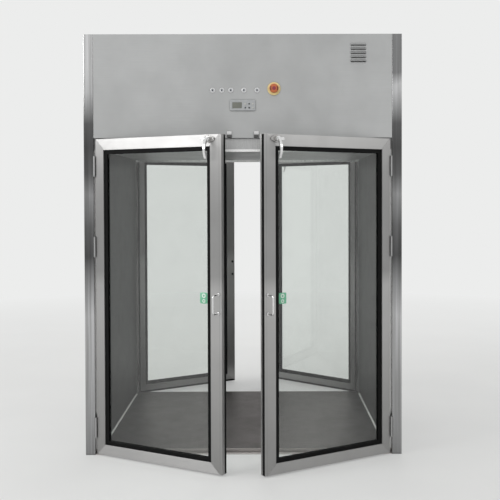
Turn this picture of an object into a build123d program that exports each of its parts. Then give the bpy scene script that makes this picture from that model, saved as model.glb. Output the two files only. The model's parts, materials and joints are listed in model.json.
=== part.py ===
from build123d import *
import os
from math import cos, radians, sin

# Cleanroom pass box: a walk-in transfer chamber with glazed double doors front and rear, under
# an equipment header that holds the blower, the filters and the controls.
# Millimetres. +X is to the right seen from the front, +Y to the rear, +Z up, and the origin is
# on the ground under the middle of the chamber. All four door leaves stand open.

os.makedirs("parts", exist_ok=True)

# ---------------------------------------------------------------- cabinet
WIDTH = 1600             # over the corner posts
DEPTH = 1400             # front face to rear face
HEADER_BOTTOM = 1600     # underside of the equipment header
HEADER = 520             # height of the equipment header
POST = 50                # square corner post
POST_WALL = 2
POST_BEND = 4            # outside bend radius of a post
SIDE_WALL = 75           # outer face to chamber liner
SKIN = 1.5               # cabinet sheet
FOLD = 25                # returns folded along the outer panels
LINER_FOLD = 20          # returns folded along the liners
FLOOR = 20               # chamber floor above the ground
FLOOR_SHEET = 2
FLOOR_RIB = 40           # width of a hollow rib under the floor
FLOOR_RIB_EDGE = 110     # floor edge to the middle of the outermost rib
FLOOR_RIBS = 5
SILL = 5                 # flat plate that runs under the shut leaves
STOP_DEPTH = 60          # door stop frame, front to back
STOP_HEAD = 55           # height of the stop frame's head
STOP_LIP = 12            # height of the bright lip under the head
STOP_LIP_SHEET = 6
WELD_GAP = 0.3           # hairline between neighbouring members of a frame

# ---------------------------------------------------------------- door leaves
LEAF_THICKNESS = 36
LEAF_BOTTOM = 8          # ground clearance
TOP_GAP = 5
HINGE_GAP = 7            # post to leaf, filled by the two hinge plates
MEETING_GAP = 4          # between the two shut leaves
RAIL = 50                # face width of the narrowest frame member
RAIL_EXTRA = (1, 12, 6, 0)   # how much wider the bottom, free, top and hinge members are
TUBE_WALL = 2
TUBE_BEND = 1.5
LIP = 7                  # frame lip over the glazing gasket
POCKET = 10              # gasket hidden behind that lip
GASKET_SHOW = 20         # gasket seen inside the frame
GLASS = 8
GLASS_GRIP = 12          # glass held in the gasket
SEAL = 4                 # space of the compression seal, leaf to stop frame
SEAL_WIDTH = 10
SEAL_INSET = 1
SEAL_CLEARANCE = 0.3
MEETING_SEAL = 1.2       # how far the meeting seals stand out of the leaf edge
MEETING_SEAL_TRIM = 2
INNER_SEAL_BAND = (22, 35)   # depth range of the seal on the leaf that shuts first
OUTER_SEAL_BAND = (1, 20)    # depth range of the seal on its neighbour

# ---------------------------------------------------------------- hinges
HINGE_RISE = 132         # leaf bottom to the middle of the lowest hinge
HINGE_DROPS = (137, 541) # leaf top to the middles of the other two
HINGE_LENGTH = 100
HINGE_PLATE = 2
HINGE_PLATE_DEPTH = 28
HINGE_LEAD = 1.4         # knuckle to hinge plate
BARREL = 11              # outside diameter of a knuckle
PIN = 6
PIN_FIT = 0.05           # radial running clearance
PIN_HEAD = 9
PIN_HEAD_HEIGHT = 2
KNUCKLES = 3
KNUCKLE_GAP = 0.4

# ---------------------------------------------------------------- handles and latches
HANDLE_HEIGHT = 806
HANDLE_CENTRES = 88
HANDLE_BAR = 9
HANDLE_REACH = 48        # leaf face to bar centre
HANDLE_BEND = 12
HANDLE_FOOT = 15
HANDLE_FOOT_HEIGHT = 3
HANDLE_EDGE = 17.5       # from the free edge

LATCH_EDGE = 66          # hub from the free edge
LATCH_DROP = 22          # hub below the leaf's top
LATCH_BODY = 34
LATCH_EAR = 17
LATCH_EAR_OFFSET = 23
LATCH_PLATE = 5
LATCH_BOSS = 26
LATCH_BOSS_HEIGHT = 3
SPINDLE = 10
LATCH_CLEARANCE = 0.3
HUB = 24
HUB_HEIGHT = 10
TONGUE = 4               # thickness of the cam tongue
TONGUE_WIDTH = 14
TONGUE_LENGTH = 38
LEVER_WIDTH = 12
LEVER_LENGTH = 92
LEVER_ROOT = 8           # half the lever's height where it leaves the hub
LEVER_BOW = 48           # furthest the lever bows out from the leaf
LEVER_TIP = 34           # stand-off of the lever's tip
LEVER_THICKNESS = 6

KEEPER_WIDTH = 24
KEEPER_HEIGHT = 32
KEEPER_PLATE = 3
KEEPER_SLOT = 10         # space for the tongue, plate to lip
KEEPER_LIP = 10          # straight lip below the bend
KEEPER_RISE = 1          # plate above the header's lower edge
KEEPER_CLEARANCE = 2     # tongue tip to the start of the bend

# ---------------------------------------------------------------- controls
BUTTON_XS = (-151, -105, -60, 6, 72)
BUTTON_RISE = 239        # heights of the controls above the header's lower edge
ESTOP_RISE = 246
CONTROLLER_RISE = 163
BEZEL = 25
BEZEL_HEIGHT = 3
BARREL_TUBE = 22         # threaded barrel behind a bezel
BARREL_TUBE_DEPTH = 22
BUTTON_CAP = 17
BUTTON_PROUD = 4.5       # cap above the panel
BUTTON_TRAVEL = 2
BUTTON_FIT = 0.3
BUTTON_FLOOR = 4
PANEL_FIT = 0.15

ESTOP_X = 157
ESTOP_COLLAR = 66
ESTOP_COLLAR_HEIGHT = 4
ESTOP_GUARD = 30
ESTOP_GUARD_HEIGHT = 8
ESTOP_STEM = 14
ESTOP_STEM_DEPTH = 20
ESTOP_HEAD = 46
ESTOP_HEAD_HEIGHT = 15
ESTOP_HEAD_CROWN = 5
ESTOP_SHOULDER = 42.6    # diameter where the crown turns in
ESTOP_SHOULDER_RISE = 3.3
ESTOP_FLAT = 30          # flat middle of the crown
ESTOP_TRAVEL = 4
ESTOP_TUBE_DEPTH = 30

CONTROLLER_FACE = (128, 54)
CONTROLLER_X = 0
CONTROLLER_PROUD = 7
CONTROLLER_CHAMFER = 1.4
CONTROLLER_CORNER = 5
CONTROLLER_BOX = (99, 41, 45)
DISPLAY = (49, 34)
DISPLAY_X = -28
DISPLAY_RECESS = 1.5
KEY_XS = (13, 32, 51)
KEY_OFFSETS = (-12, 7)   # key rows above the controller's middle
KEY = 8
KEY_PROUD = 1

LOUVRES = 5
LOUVRE_LENGTH = 76
LOUVRE_PITCH = 20.5
LOUVRE_X = 581
LOUVRE_DROP = 98         # roof to the middle of the louvres
LOUVRE_HOOD = 9          # radius of a pressed hood

# ---------------------------------------------------------------- ceiling and air plant
DIFFUSER_SHEET = 2
DIFFUSER_SLOT = 12       # width of a slot
DIFFUSER_COLUMNS = 3
DIFFUSER_ROWS = 18
DIFFUSER_WEB = 60        # between the columns
DIFFUSER_EDGE = 65       # tray side to the slots
DIFFUSER_END = 73        # tray end to the first row
PLENUM_HEIGHT = 160
PLENUM_SIDE_GAP = 5      # plenum to the inner faces of the posts
PLENUM_END_GAP = 50      # plenum to the cabinet's front and rear faces
PLENUM_LEDGE = 40
FILTER_HEIGHT = 90
FILTER_RIM = 20
FILTER_CLEARANCE = 2
FILTER_PLEATS = 16
MEDIA_THICKNESS = 6

BLOWER_HEADROOM = 30.5   # blower housing to the roof
SCROLL_GROWTH = 16       # radius gained at each quarter turn
SCROLL_FOOT = 32         # outlet flange to the lowest point of the round part
SCROLL_WIDTH = 180
SCROLL_WALL = 2
SCROLL_CUTOFF = 70
SCROLL_X = -190          # near side plate
OUTLET_FLANGE = 18
OUTLET_FLANGE_SHEET = 3
INLET_LIP = 15           # inlet's edge to the blades
WHEEL_CLEARANCE = 15     # blades to scroll at the cut-off
WHEEL_WIDTH = 120
WHEEL_GAP = 30           # near side plate to wheel
WHEEL_PLATE = 2
BLADES = 24
BLADE_DEPTH = 26
BLADE_BULGE = 5.2        # rise of a blade's curve over its chord
BLADE_SHEET = 1.5
HUB_BOSS = 50
SHAFT = 14
SHAFT_IN_MOTOR = 90
SHAFT_OPENING = 30
MOTOR = 130
MOTOR_LENGTH = 150
MOTOR_EDGE = 12

# ---------------------------------------------------------------- worked out from the above
HEIGHT = HEADER_BOTTOM + HEADER
HALF_W = WIDTH / 2
HALF_D = DEPTH / 2
JAMB_X = HALF_W - POST
LINER_X = HALF_W - SIDE_WALL
STOP_FACE = HALF_D - LEAF_THICKNESS - SEAL
STOP_BACK = STOP_FACE - STOP_DEPTH
CEILING = HEADER_BOTTOM - STOP_HEAD
PIVOT_X = JAMB_X - HINGE_GAP / 2
PIVOT_Y = HALF_D + BARREL / 2
LEAF_NEAR = HINGE_GAP / 2
LEAF_FAR = PIVOT_X - MEETING_GAP / 2
LEAF_TOP = HEADER_BOTTOM - TOP_GAP
LATCH_REACH = LEAF_FAR - LATCH_EDGE
LATCH_HEIGHT = LEAF_TOP - LATCH_DROP
LATCH_SEAT = LATCH_PLATE + LATCH_BOSS_HEIGHT + LATCH_CLEARANCE
GLASS_INSET = RAIL + GASKET_SHOW - GLASS_GRIP
HINGE_HEIGHTS = (LEAF_BOTTOM + HINGE_RISE, *[LEAF_TOP - drop for drop in HINGE_DROPS])
BUTTON_HEIGHT = HEADER_BOTTOM + BUTTON_RISE
ESTOP_HEIGHT = HEADER_BOTTOM + ESTOP_RISE
CONTROLLER_HEIGHT = HEADER_BOTTOM + CONTROLLER_RISE
LOUVRE_HEIGHT = HEIGHT - LOUVRE_DROP
PLENUM_BOTTOM = HEADER_BOTTOM
PLENUM_TOP = PLENUM_BOTTOM + PLENUM_HEIGHT
PLENUM_WIDTH = 2 * (JAMB_X - PLENUM_SIDE_GAP)
PLENUM_DEPTH = 2 * (HALF_D - PLENUM_END_GAP)
SCROLL_ROOM = HEIGHT - SKIN - BLOWER_HEADROOM - PLENUM_TOP
SCROLL_RADIUS = (SCROLL_ROOM - SCROLL_FOOT - SCROLL_GROWTH) / 2
SCROLL_AXIS_RISE = SCROLL_FOOT + SCROLL_RADIUS
WHEEL = 2 * (SCROLL_RADIUS - WHEEL_CLEARANCE)
INLET = WHEEL - 2 * (BLADE_DEPTH + INLET_LIP)
SCROLL_AXIS_HEIGHT = PLENUM_TOP + SCROLL_AXIS_RISE
SCROLL_FAR_Y = 2 * SCROLL_GROWTH + SCROLL_RADIUS + SCROLL_GROWTH

# Edges of a leaf, counted round its face from the bottom one
BOTTOM_EDGE, FREE_EDGE, TOP_EDGE, HINGE_EDGE = range(4)

FRONT_FACE = Plane(origin=(0, -HALF_D, 0), x_dir=(1, 0, 0), z_dir=(0, -1, 0))
REAR_FACE = Plane(origin=(0, HALF_D, 0), x_dir=(-1, 0, 0), z_dir=(0, 1, 0))
LEFT_FACE = Plane(origin=(-HALF_W, 0, 0), x_dir=(0, -1, 0), z_dir=(-1, 0, 0))
RIGHT_FACE = Plane(origin=(HALF_W, 0, 0), x_dir=(0, 1, 0), z_dir=(1, 0, 0))


def save(part, name):
    """Label a finished piece and write its STEP file."""
    part.label = name
    export_step(part, f"parts/{name}.step")


class Leaf:
    """A door leaf's hinge axis, and the planes that turn with the leaf.

    side is -1 for left and 1 for right, wall is -1 for front and 1 for rear. A place on the
    leaf is its reach from the hinge axis, its height, and its depth behind the outer face.
    """

    def __init__(self, name, side, wall, opening):
        self.name = name
        self.side = side
        self.wall = wall
        self.hand = side * wall
        self.axis = Vector(side * PIVOT_X, wall * PIVOT_Y, 0)
        self.shut_heading = 0 if side < 0 else 180
        self.heading = self.shut_heading - self.hand * opening
        self.along = Vector(cos(radians(self.heading)), sin(radians(self.heading)), 0)
        self.behind = Vector(0, 0, 1).cross(self.along) * self.hand

    def plan(self, height, heading):
        """Level plane through the hinge axis, with local X along the given heading."""
        along = Vector(cos(radians(heading)), sin(radians(heading)), 0)
        return Plane(origin=self.axis + Vector(0, 0, height), x_dir=along, z_dir=(0, 0, 1))

    def face(self, depth):
        """Plane of the leaf's face at a depth: local X is the reach and local Y the height."""
        origin = self.axis + self.behind * (BARREL / 2 + depth)
        return Plane(origin=origin, x_dir=self.along, z_dir=self.along.cross(Vector(0, 0, 1)))

    def section(self, reach):
        """Upright plane across the leaf: local X points outward from the outer face."""
        outward = self.behind * -1
        origin = self.axis + self.along * reach + self.behind * (BARREL / 2)
        return Plane(origin=origin, x_dir=outward, z_dir=outward.cross(Vector(0, 0, 1)))

    def inward(self, distance):
        """Extrusion amount that goes from a face plane into the leaf."""
        return -self.hand * distance

    def outward(self, distance):
        """Extrusion amount that goes from a face plane away from the leaf."""
        return self.hand * distance

    def depth_of(self, point):
        """Depth of a point behind the outer face."""
        return (point - self.axis).dot(self.behind) - BARREL / 2


LEAVES = (
    Leaf("front_left", -1, -1, opening=29),
    Leaf("front_right", 1, -1, opening=31),
    Leaf("rear_left", -1, 1, opening=33),
    Leaf("rear_right", 1, 1, opening=41),
)


# ================================================================ door leaves
def inset_corners(inset):
    """Corners of the leaf's outline moved in by an inset, from the bottom hinge corner on.

    Up to the glazing pocket the inset is stretched to each member's own width.
    """
    share = min(inset / (RAIL - POCKET), 1)
    bottom, free, top, hinge = [inset + extra * share for extra in RAIL_EXTRA]
    left, right = LEAF_NEAR + hinge, LEAF_FAR - free
    low, high = LEAF_BOTTOM + bottom, LEAF_TOP - top
    return [Vector(left, low), Vector(right, low), Vector(right, high), Vector(left, high)]


def extrude_strip(leaf, edge, insets, depth, thickness, mode=Mode.ADD):
    """Extrude a strip with mitred ends along one edge of the leaf, between two insets."""
    outer, inner = inset_corners(insets[0]), inset_corners(insets[1])
    start, end = edge, (edge + 1) % 4
    trim = (outer[end] - outer[start]).normalized() * (WELD_GAP / 2)
    corners = [outer[start] + trim, outer[end] - trim, inner[end] - trim, inner[start] + trim]
    with BuildSketch(leaf.face(depth)) as profile:
        with BuildLine():
            Polyline(*corners, close=True)
        make_face()
    extrude(profile.sketch, amount=leaf.inward(thickness), mode=mode)


def make_door_frame(leaf):
    """Four mitred tube members, with lips either side of the glazing pocket."""
    tube = (TUBE_WALL, RAIL - POCKET - TUBE_WALL)
    with BuildPart() as frame:
        for edge in (BOTTOM_EDGE, FREE_EDGE, TOP_EDGE, HINGE_EDGE):
            extrude_strip(leaf, edge, (0, RAIL - POCKET), 0, LEAF_THICKNESS)
            extrude_strip(leaf, edge, tube, TUBE_WALL, LEAF_THICKNESS - 2 * TUBE_WALL,
                          Mode.SUBTRACT)
            for depth in (0, LEAF_THICKNESS - LIP):
                extrude_strip(leaf, edge, (RAIL - POCKET, RAIL), depth, LIP)
        bends = []
        for edge in frame.edges():
            depth = leaf.depth_of(edge.center())
            on_face = min(abs(depth), abs(depth - LEAF_THICKNESS)) < TUBE_WALL / 4
            if on_face and edge.length > LEAF_FAR / 2:
                bends.append(edge)
        fillet(bends, TUBE_BEND)
    save(frame.part, f"{leaf.name}_door_frame")


def make_door_glass(leaf):
    """Toughened pane held all round in the gasket."""
    with BuildPart() as glass:
        with BuildSketch(leaf.face((LEAF_THICKNESS - GLASS) / 2)):
            with BuildLine():
                Polyline(*inset_corners(GLASS_INSET), close=True)
            make_face()
        extrude(amount=leaf.inward(GLASS))
    save(glass.part, f"{leaf.name}_door_glass")


def make_glazing_gasket(leaf):
    """Rubber channel round the pane, cut at the corners and seated behind the frame's lip."""
    outer, inner = RAIL - POCKET, RAIL + GASKET_SHOW
    with BuildPart() as gasket:
        for edge in (BOTTOM_EDGE, FREE_EDGE, TOP_EDGE, HINGE_EDGE):
            extrude_strip(leaf, edge, (outer, inner), LIP, LEAF_THICKNESS - 2 * LIP)
            extrude_strip(leaf, edge, (GLASS_INSET, inner), (LEAF_THICKNESS - GLASS) / 2, GLASS,
                          Mode.SUBTRACT)
    save(gasket.part, f"{leaf.name}_glazing_gasket")


def make_door_seals(leaf):
    """Compression strips on the leaf's back, and the meeting strip on its free edge."""
    near, far = INNER_SEAL_BAND if leaf.hand > 0 else OUTER_SEAL_BAND
    with BuildPart() as seals:
        for edge in (BOTTOM_EDGE, TOP_EDGE, HINGE_EDGE):
            extrude_strip(leaf, edge, (SEAL_INSET, SEAL_INSET + SEAL_WIDTH), LEAF_THICKNESS,
                          SEAL - SEAL_CLEARANCE)
        with BuildSketch(leaf.plan(LEAF_BOTTOM + MEETING_SEAL_TRIM, leaf.heading)):
            depth = BARREL / 2 + (near + far) / 2
            with Locations((LEAF_FAR + MEETING_SEAL / 2, leaf.hand * depth)):
                Rectangle(MEETING_SEAL, far - near)
        extrude(amount=LEAF_TOP - LEAF_BOTTOM - 2 * MEETING_SEAL_TRIM)
    save(seals.part, f"{leaf.name}_door_seals")


def make_door_handle(leaf):
    """Bent round bar on two feet."""
    reach = LEAF_FAR - HANDLE_EDGE
    low = HANDLE_HEIGHT - HANDLE_CENTRES / 2
    high = HANDLE_HEIGHT + HANDLE_CENTRES / 2
    with BuildPart() as handle:
        with BuildLine(leaf.section(reach)) as bow:
            FilletPolyline((0, low), (HANDLE_REACH, low), (HANDLE_REACH, high), (0, high),
                           radius=HANDLE_BEND)
        with BuildSketch(Plane(origin=bow.line @ 0, z_dir=bow.line % 0)):
            Circle(HANDLE_BAR / 2)
        sweep(path=bow.line)
        with BuildSketch(leaf.face(0)):
            with Locations((reach, low), (reach, high)):
                Circle(HANDLE_FOOT / 2)
        extrude(amount=leaf.outward(HANDLE_FOOT_HEIGHT))
    save(handle.part, f"{leaf.name}_door_handle")


def extrude_disc(leaf, diameter, base, height, mode=Mode.ADD):
    """Disc on the latch hub's axis, from a stand-off outward from the leaf's face."""
    with BuildSketch(leaf.face(-base)) as profile:
        with Locations((LATCH_REACH, LATCH_HEIGHT)):
            Circle(diameter / 2)
    extrude(profile.sketch, amount=leaf.outward(height), mode=mode)


def make_latch_base(leaf):
    """Two-eared plate with the boss that carries the latch spindle."""
    total = LATCH_PLATE + LATCH_BOSS_HEIGHT
    with BuildPart() as base:
        with BuildSketch(leaf.face(0)):
            with Locations((LATCH_REACH, LATCH_HEIGHT)):
                Circle(LATCH_BODY / 2)
            with Locations((LATCH_REACH - LATCH_EAR_OFFSET, LATCH_HEIGHT),
                           (LATCH_REACH + LATCH_EAR_OFFSET, LATCH_HEIGHT)):
                Circle(LATCH_EAR / 2)
            make_hull()
        extrude(amount=leaf.outward(LATCH_PLATE))
        extrude_disc(leaf, LATCH_BOSS, LATCH_PLATE, LATCH_BOSS_HEIGHT)
        extrude_disc(leaf, SPINDLE + 2 * PIN_FIT, 0, total, Mode.SUBTRACT)
    save(base.part, f"{leaf.name}_latch_base")


def make_latch_lever(leaf):
    """Cast lever: spindle, cam tongue towards the hinge side, hub and bowed arm hanging down."""
    tip = LATCH_HEIGHT - LEVER_LENGTH
    middle = LATCH_HEIGHT - LEVER_LENGTH / 2
    root = LATCH_SEAT + TONGUE + HUB_HEIGHT
    with BuildPart() as lever:
        extrude_disc(leaf, SPINDLE, LATCH_CLEARANCE, LATCH_SEAT - LATCH_CLEARANCE)
        extrude_disc(leaf, HUB, LATCH_SEAT, TONGUE + HUB_HEIGHT)
        with BuildSketch(leaf.face(-LATCH_SEAT)):
            straight = TONGUE_LENGTH - TONGUE_WIDTH / 2
            with Locations((LATCH_REACH - straight / 2, LATCH_HEIGHT)):
                Rectangle(straight, TONGUE_WIDTH)
            with Locations((LATCH_REACH - straight, LATCH_HEIGHT)):
                Circle(TONGUE_WIDTH / 2)
        extrude(amount=leaf.outward(TONGUE))
        with BuildSketch(leaf.section(LATCH_REACH)):
            with BuildLine():
                ThreePointArc((root, LATCH_HEIGHT + LEVER_ROOT), (LEVER_BOW, middle),
                              (LEVER_TIP, tip))
                Line((LEVER_TIP, tip), (LEVER_TIP - LEVER_THICKNESS, tip))
                ThreePointArc((LEVER_TIP - LEVER_THICKNESS, tip),
                              (LEVER_BOW - LEVER_THICKNESS, middle),
                              (LATCH_SEAT + TONGUE, LATCH_HEIGHT - LEVER_ROOT))
                Line((LATCH_SEAT + TONGUE, LATCH_HEIGHT - LEVER_ROOT),
                     (root, LATCH_HEIGHT + LEVER_ROOT))
            make_face()
        extrude(amount=LEVER_WIDTH / 2, both=True)
    save(lever.part, f"{leaf.name}_latch_lever")


# ================================================================ hinges and keepers
def extrude_hinge_half(leaf, heading, toward, knuckles):
    """One half of each of a leaf's hinges. toward is 1 on the leaf and -1 on the post."""
    start = BARREL / 2 + HINGE_LEAD
    plate_x = toward * (HINGE_GAP - HINGE_PLATE) / 2
    pitch = (HINGE_LENGTH + KNUCKLE_GAP) / KNUCKLES
    for height in HINGE_HEIGHTS:
        bottom = height - HINGE_LENGTH / 2
        with BuildSketch(leaf.plan(bottom, heading)) as profile:
            with Locations((plate_x, leaf.hand * (start + HINGE_PLATE_DEPTH / 2))):
                Rectangle(HINGE_PLATE, HINGE_PLATE_DEPTH)
        extrude(profile.sketch, amount=HINGE_LENGTH)
        for knuckle in knuckles:
            with BuildSketch(leaf.plan(bottom + knuckle * pitch, heading)) as profile:
                Circle(BARREL / 2)
                with Locations((plate_x, leaf.hand * start / 2)):
                    Rectangle(HINGE_PLATE, start)
                Circle(PIN / 2 + PIN_FIT, mode=Mode.SUBTRACT)
            extrude(profile.sketch, amount=pitch - KNUCKLE_GAP)


def make_hinge_door_plates(leaf):
    """The leaf's halves of its hinges, with the middle knuckle."""
    with BuildPart() as plates:
        extrude_hinge_half(leaf, leaf.heading, 1, range(1, KNUCKLES, 2))
    save(plates.part, f"{leaf.name}_hinge_door_plates")


def make_hinge_post_plates():
    """The posts' halves of all hinges, with the end knuckles."""
    with BuildPart() as plates:
        for leaf in LEAVES:
            extrude_hinge_half(leaf, leaf.shut_heading, -1, range(0, KNUCKLES, 2))
    save(plates.part, "hinge_post_plates")


def make_hinge_pins():
    """Headed pins through the knuckles."""
    with BuildPart() as pins:
        for leaf in LEAVES:
            for height in HINGE_HEIGHTS:
                bottom = height - HINGE_LENGTH / 2
                with BuildSketch(leaf.plan(bottom, leaf.shut_heading)):
                    Circle(PIN / 2)
                extrude(amount=HINGE_LENGTH)
                for end in (bottom - PIN_HEAD_HEIGHT, bottom + HINGE_LENGTH):
                    with BuildSketch(leaf.plan(end, leaf.shut_heading)):
                        Circle(PIN_HEAD / 2)
                    extrude(amount=PIN_HEAD_HEIGHT)
    save(pins.part, "hinge_pins")


def make_latch_keepers():
    """Rounded hoods on the header that the latch tongues turn up into."""
    bottom = HEADER_BOTTOM + KEEPER_RISE
    top = bottom + KEEPER_HEIGHT
    spring = LATCH_HEIGHT + TONGUE_LENGTH + KEEPER_CLEARANCE
    tip = spring - KEEPER_LIP
    outer = KEEPER_SLOT + KEEPER_PLATE
    bend_inside = KEEPER_SLOT * sin(radians(45))
    bend_outside = outer * sin(radians(45))
    with BuildPart() as keepers:
        for leaf in LEAVES:
            x = leaf.side * (PIVOT_X - LATCH_REACH)
            with BuildSketch(Plane(origin=(x, leaf.wall * (HALF_D + KEEPER_PLATE), 0),
                                   x_dir=(0, leaf.wall, 0), z_dir=(leaf.wall, 0, 0))):
                with BuildLine():
                    Polyline((0, spring + outer), (0, top), (-KEEPER_PLATE, top),
                             (-KEEPER_PLATE, bottom), (0, bottom), (0, spring + KEEPER_SLOT))
                    ThreePointArc((0, spring + KEEPER_SLOT), (bend_inside, spring + bend_inside),
                                  (KEEPER_SLOT, spring))
                    Polyline((KEEPER_SLOT, spring), (KEEPER_SLOT, tip), (outer, tip),
                             (outer, spring))
                    ThreePointArc((outer, spring), (bend_outside, spring + bend_outside),
                                  (0, spring + outer))
                make_face()
            extrude(amount=KEEPER_WIDTH / 2, both=True)
    save(keepers.part, "latch_keepers")


# ================================================================ cabinet
def extrude_folded_panel(plane, centre, width, height, fold):
    """Sheet with a return folded back along every edge. The plane lies on its outer face."""
    with BuildSketch(plane) as profile:
        with Locations(centre):
            Rectangle(width, height)
    extrude(profile.sketch, amount=-fold)
    with BuildSketch(plane.offset(-SKIN)) as profile:
        with Locations(centre):
            Rectangle(width - 2 * SKIN, height - 2 * SKIN)
    extrude(profile.sketch, amount=SKIN - fold, mode=Mode.SUBTRACT)


def make_corner_posts():
    """Four bent square posts, capped on top."""
    corners = [(x, y) for x in (-1, 1) for y in (-1, 1)]
    places = [(x * (HALF_W - POST / 2), y * (HALF_D - POST / 2)) for x, y in corners]
    inside = POST - 2 * POST_WALL
    with BuildPart() as posts:
        with BuildSketch():
            with Locations(*places):
                RectangleRounded(POST, POST, POST_BEND)
        extrude(amount=HEIGHT)
        with BuildSketch():
            with Locations(*places):
                RectangleRounded(inside, inside, POST_BEND - POST_WALL)
        extrude(amount=HEIGHT - POST_WALL, mode=Mode.SUBTRACT)
    save(posts.part, "corner_posts")


def make_side_panels():
    """Outer side panels between the posts."""
    height = HEIGHT - SKIN
    for name, plane in (("left_side_panel", LEFT_FACE), ("right_side_panel", RIGHT_FACE)):
        with BuildPart() as panel:
            extrude_folded_panel(plane, (0, height / 2), DEPTH - 2 * POST, height, FOLD)
        save(panel.part, name)


def make_liners():
    """Chamber side liners between the stop frames, with their returns turned outward."""
    height = HEADER_BOTTOM - FLOOR
    for name, side in (("left_liner", -1), ("right_liner", 1)):
        face = Plane(origin=(side * LINER_X, 0, 0), x_dir=(0, -side, 0), z_dir=(-side, 0, 0))
        with BuildPart() as liner:
            extrude_folded_panel(face, (0, FLOOR + height / 2), 2 * STOP_BACK, height,
                                 LINER_FOLD)
        save(liner.part, name)


def make_base_pan():
    """Chamber floor: a folded pan with hollow ribs, and a sill under each pair of leaves."""
    width, depth = 2 * JAMB_X, 2 * STOP_FACE
    rib_pitch = (width - 2 * FLOOR_RIB_EDGE) / (FLOOR_RIBS - 1)
    with BuildPart() as pan:
        with BuildSketch():
            Rectangle(width, depth)
        extrude(amount=FLOOR)
        with BuildSketch():
            Rectangle(width - 2 * FLOOR_SHEET, depth - 2 * FLOOR_SHEET)
        extrude(amount=FLOOR - FLOOR_SHEET, mode=Mode.SUBTRACT)
        with BuildSketch():
            with GridLocations(rib_pitch, 0, FLOOR_RIBS, 1):
                Rectangle(FLOOR_RIB, depth - 2 * FLOOR_SHEET)
        extrude(amount=FLOOR - FLOOR_SHEET)
        with BuildSketch(Plane.XY.offset(FLOOR_SHEET)):
            with GridLocations(rib_pitch, 0, FLOOR_RIBS, 1):
                Rectangle(FLOOR_RIB - 2 * FLOOR_SHEET, depth - 2 * FLOOR_SHEET)
        extrude(amount=FLOOR - 2 * FLOOR_SHEET, mode=Mode.SUBTRACT)
        with BuildSketch():
            with GridLocations(0, HALF_D + STOP_FACE, 1, 2):
                Rectangle(width, HALF_D - STOP_FACE)
        extrude(amount=SILL)
    save(pan.part, "base_pan")


def make_door_stop_frames():
    """Box-section jambs and lipped heads that the shut leaves close against."""
    middle = (STOP_FACE + STOP_BACK) / 2
    jamb = JAMB_X - LINER_X
    jamb_places = [(x * (LINER_X + jamb / 2), y * middle) for x in (-1, 1) for y in (-1, 1)]
    jamb_height = CEILING - WELD_GAP - FLOOR
    with BuildPart() as frames:
        with BuildSketch(Plane.XY.offset(FLOOR)):
            with Locations(*jamb_places):
                Rectangle(jamb, STOP_DEPTH)
                Rectangle(jamb - 2 * SKIN, STOP_DEPTH - 2 * SKIN, mode=Mode.SUBTRACT)
        extrude(amount=jamb_height)
        with BuildSketch(Plane.YZ.offset(-JAMB_X)):
            with Locations((-middle, CEILING + STOP_HEAD / 2), (middle, CEILING + STOP_HEAD / 2)):
                Rectangle(STOP_DEPTH, STOP_HEAD)
                Rectangle(STOP_DEPTH - 2 * SKIN, STOP_HEAD - 2 * SKIN, mode=Mode.SUBTRACT)
        extrude(amount=2 * JAMB_X)
        lip_y = STOP_FACE - STOP_LIP_SHEET / 2
        lip_half = LINER_X - WELD_GAP
        with BuildSketch(Plane.YZ.offset(-lip_half)):
            with Locations((-lip_y, CEILING - STOP_LIP / 2), (lip_y, CEILING - STOP_LIP / 2)):
                Rectangle(STOP_LIP_SHEET, STOP_LIP)
        extrude(amount=2 * lip_half)
    save(frames.part, "door_stop_frames")


def cut_panel_openings():
    """Holes in the front header panel for the buttons, the emergency stop and the controller."""
    with BuildSketch(FRONT_FACE) as profile:
        with Locations(*[(x, BUTTON_HEIGHT) for x in BUTTON_XS], (ESTOP_X, ESTOP_HEIGHT)):
            Circle(BARREL_TUBE / 2 + PANEL_FIT)
        with Locations((CONTROLLER_X, CONTROLLER_HEIGHT)):
            Rectangle(CONTROLLER_BOX[0] + 2 * PANEL_FIT, CONTROLLER_BOX[1] + 2 * PANEL_FIT)
    extrude(profile.sketch, amount=-SKIN, mode=Mode.SUBTRACT)


def extrude_quarter_round(end_x, height, radius, length, mode=Mode.ADD):
    """Quarter-round bar along X on the front face, flat side down."""
    with BuildSketch(Plane(origin=(end_x, -HALF_D, height), x_dir=(0, -1, 0),
                           z_dir=(-1, 0, 0))) as profile:
        with BuildLine():
            Line((0, 0), (radius, 0))
            CenterArc((0, 0), radius, 0, 90)
            Line((0, radius), (0, 0))
        make_face()
    extrude(profile.sketch, amount=length, mode=mode)


def press_louvres():
    """Row of hooded louvres, each open at its underside."""
    inner = LOUVRE_HOOD - SKIN
    for row in range(LOUVRES):
        height = LOUVRE_HEIGHT + (row - (LOUVRES - 1) / 2) * LOUVRE_PITCH
        end_x = LOUVRE_X + LOUVRE_LENGTH / 2
        extrude_quarter_round(end_x, height, LOUVRE_HOOD, LOUVRE_LENGTH)
        extrude_quarter_round(end_x - SKIN, height, inner, LOUVRE_LENGTH - 2 * SKIN,
                              Mode.SUBTRACT)
        with BuildSketch(FRONT_FACE) as profile:
            with Locations((LOUVRE_X, height + inner / 2)):
                Rectangle(LOUVRE_LENGTH - 2 * SKIN, inner)
        extrude(profile.sketch, amount=-SKIN, mode=Mode.SUBTRACT)


def make_header_panels():
    """Front header with the control openings and louvres, and the plain rear one."""
    height = HEIGHT - SKIN - HEADER_BOTTOM
    centre = (0, HEADER_BOTTOM + height / 2)
    with BuildPart() as front:
        extrude_folded_panel(FRONT_FACE, centre, 2 * JAMB_X, height, FOLD)
        cut_panel_openings()
        press_louvres()
    save(front.part, "front_header_panel")
    with BuildPart() as rear:
        extrude_folded_panel(REAR_FACE, centre, 2 * JAMB_X, height, FOLD)
    save(rear.part, "rear_header_panel")


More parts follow.
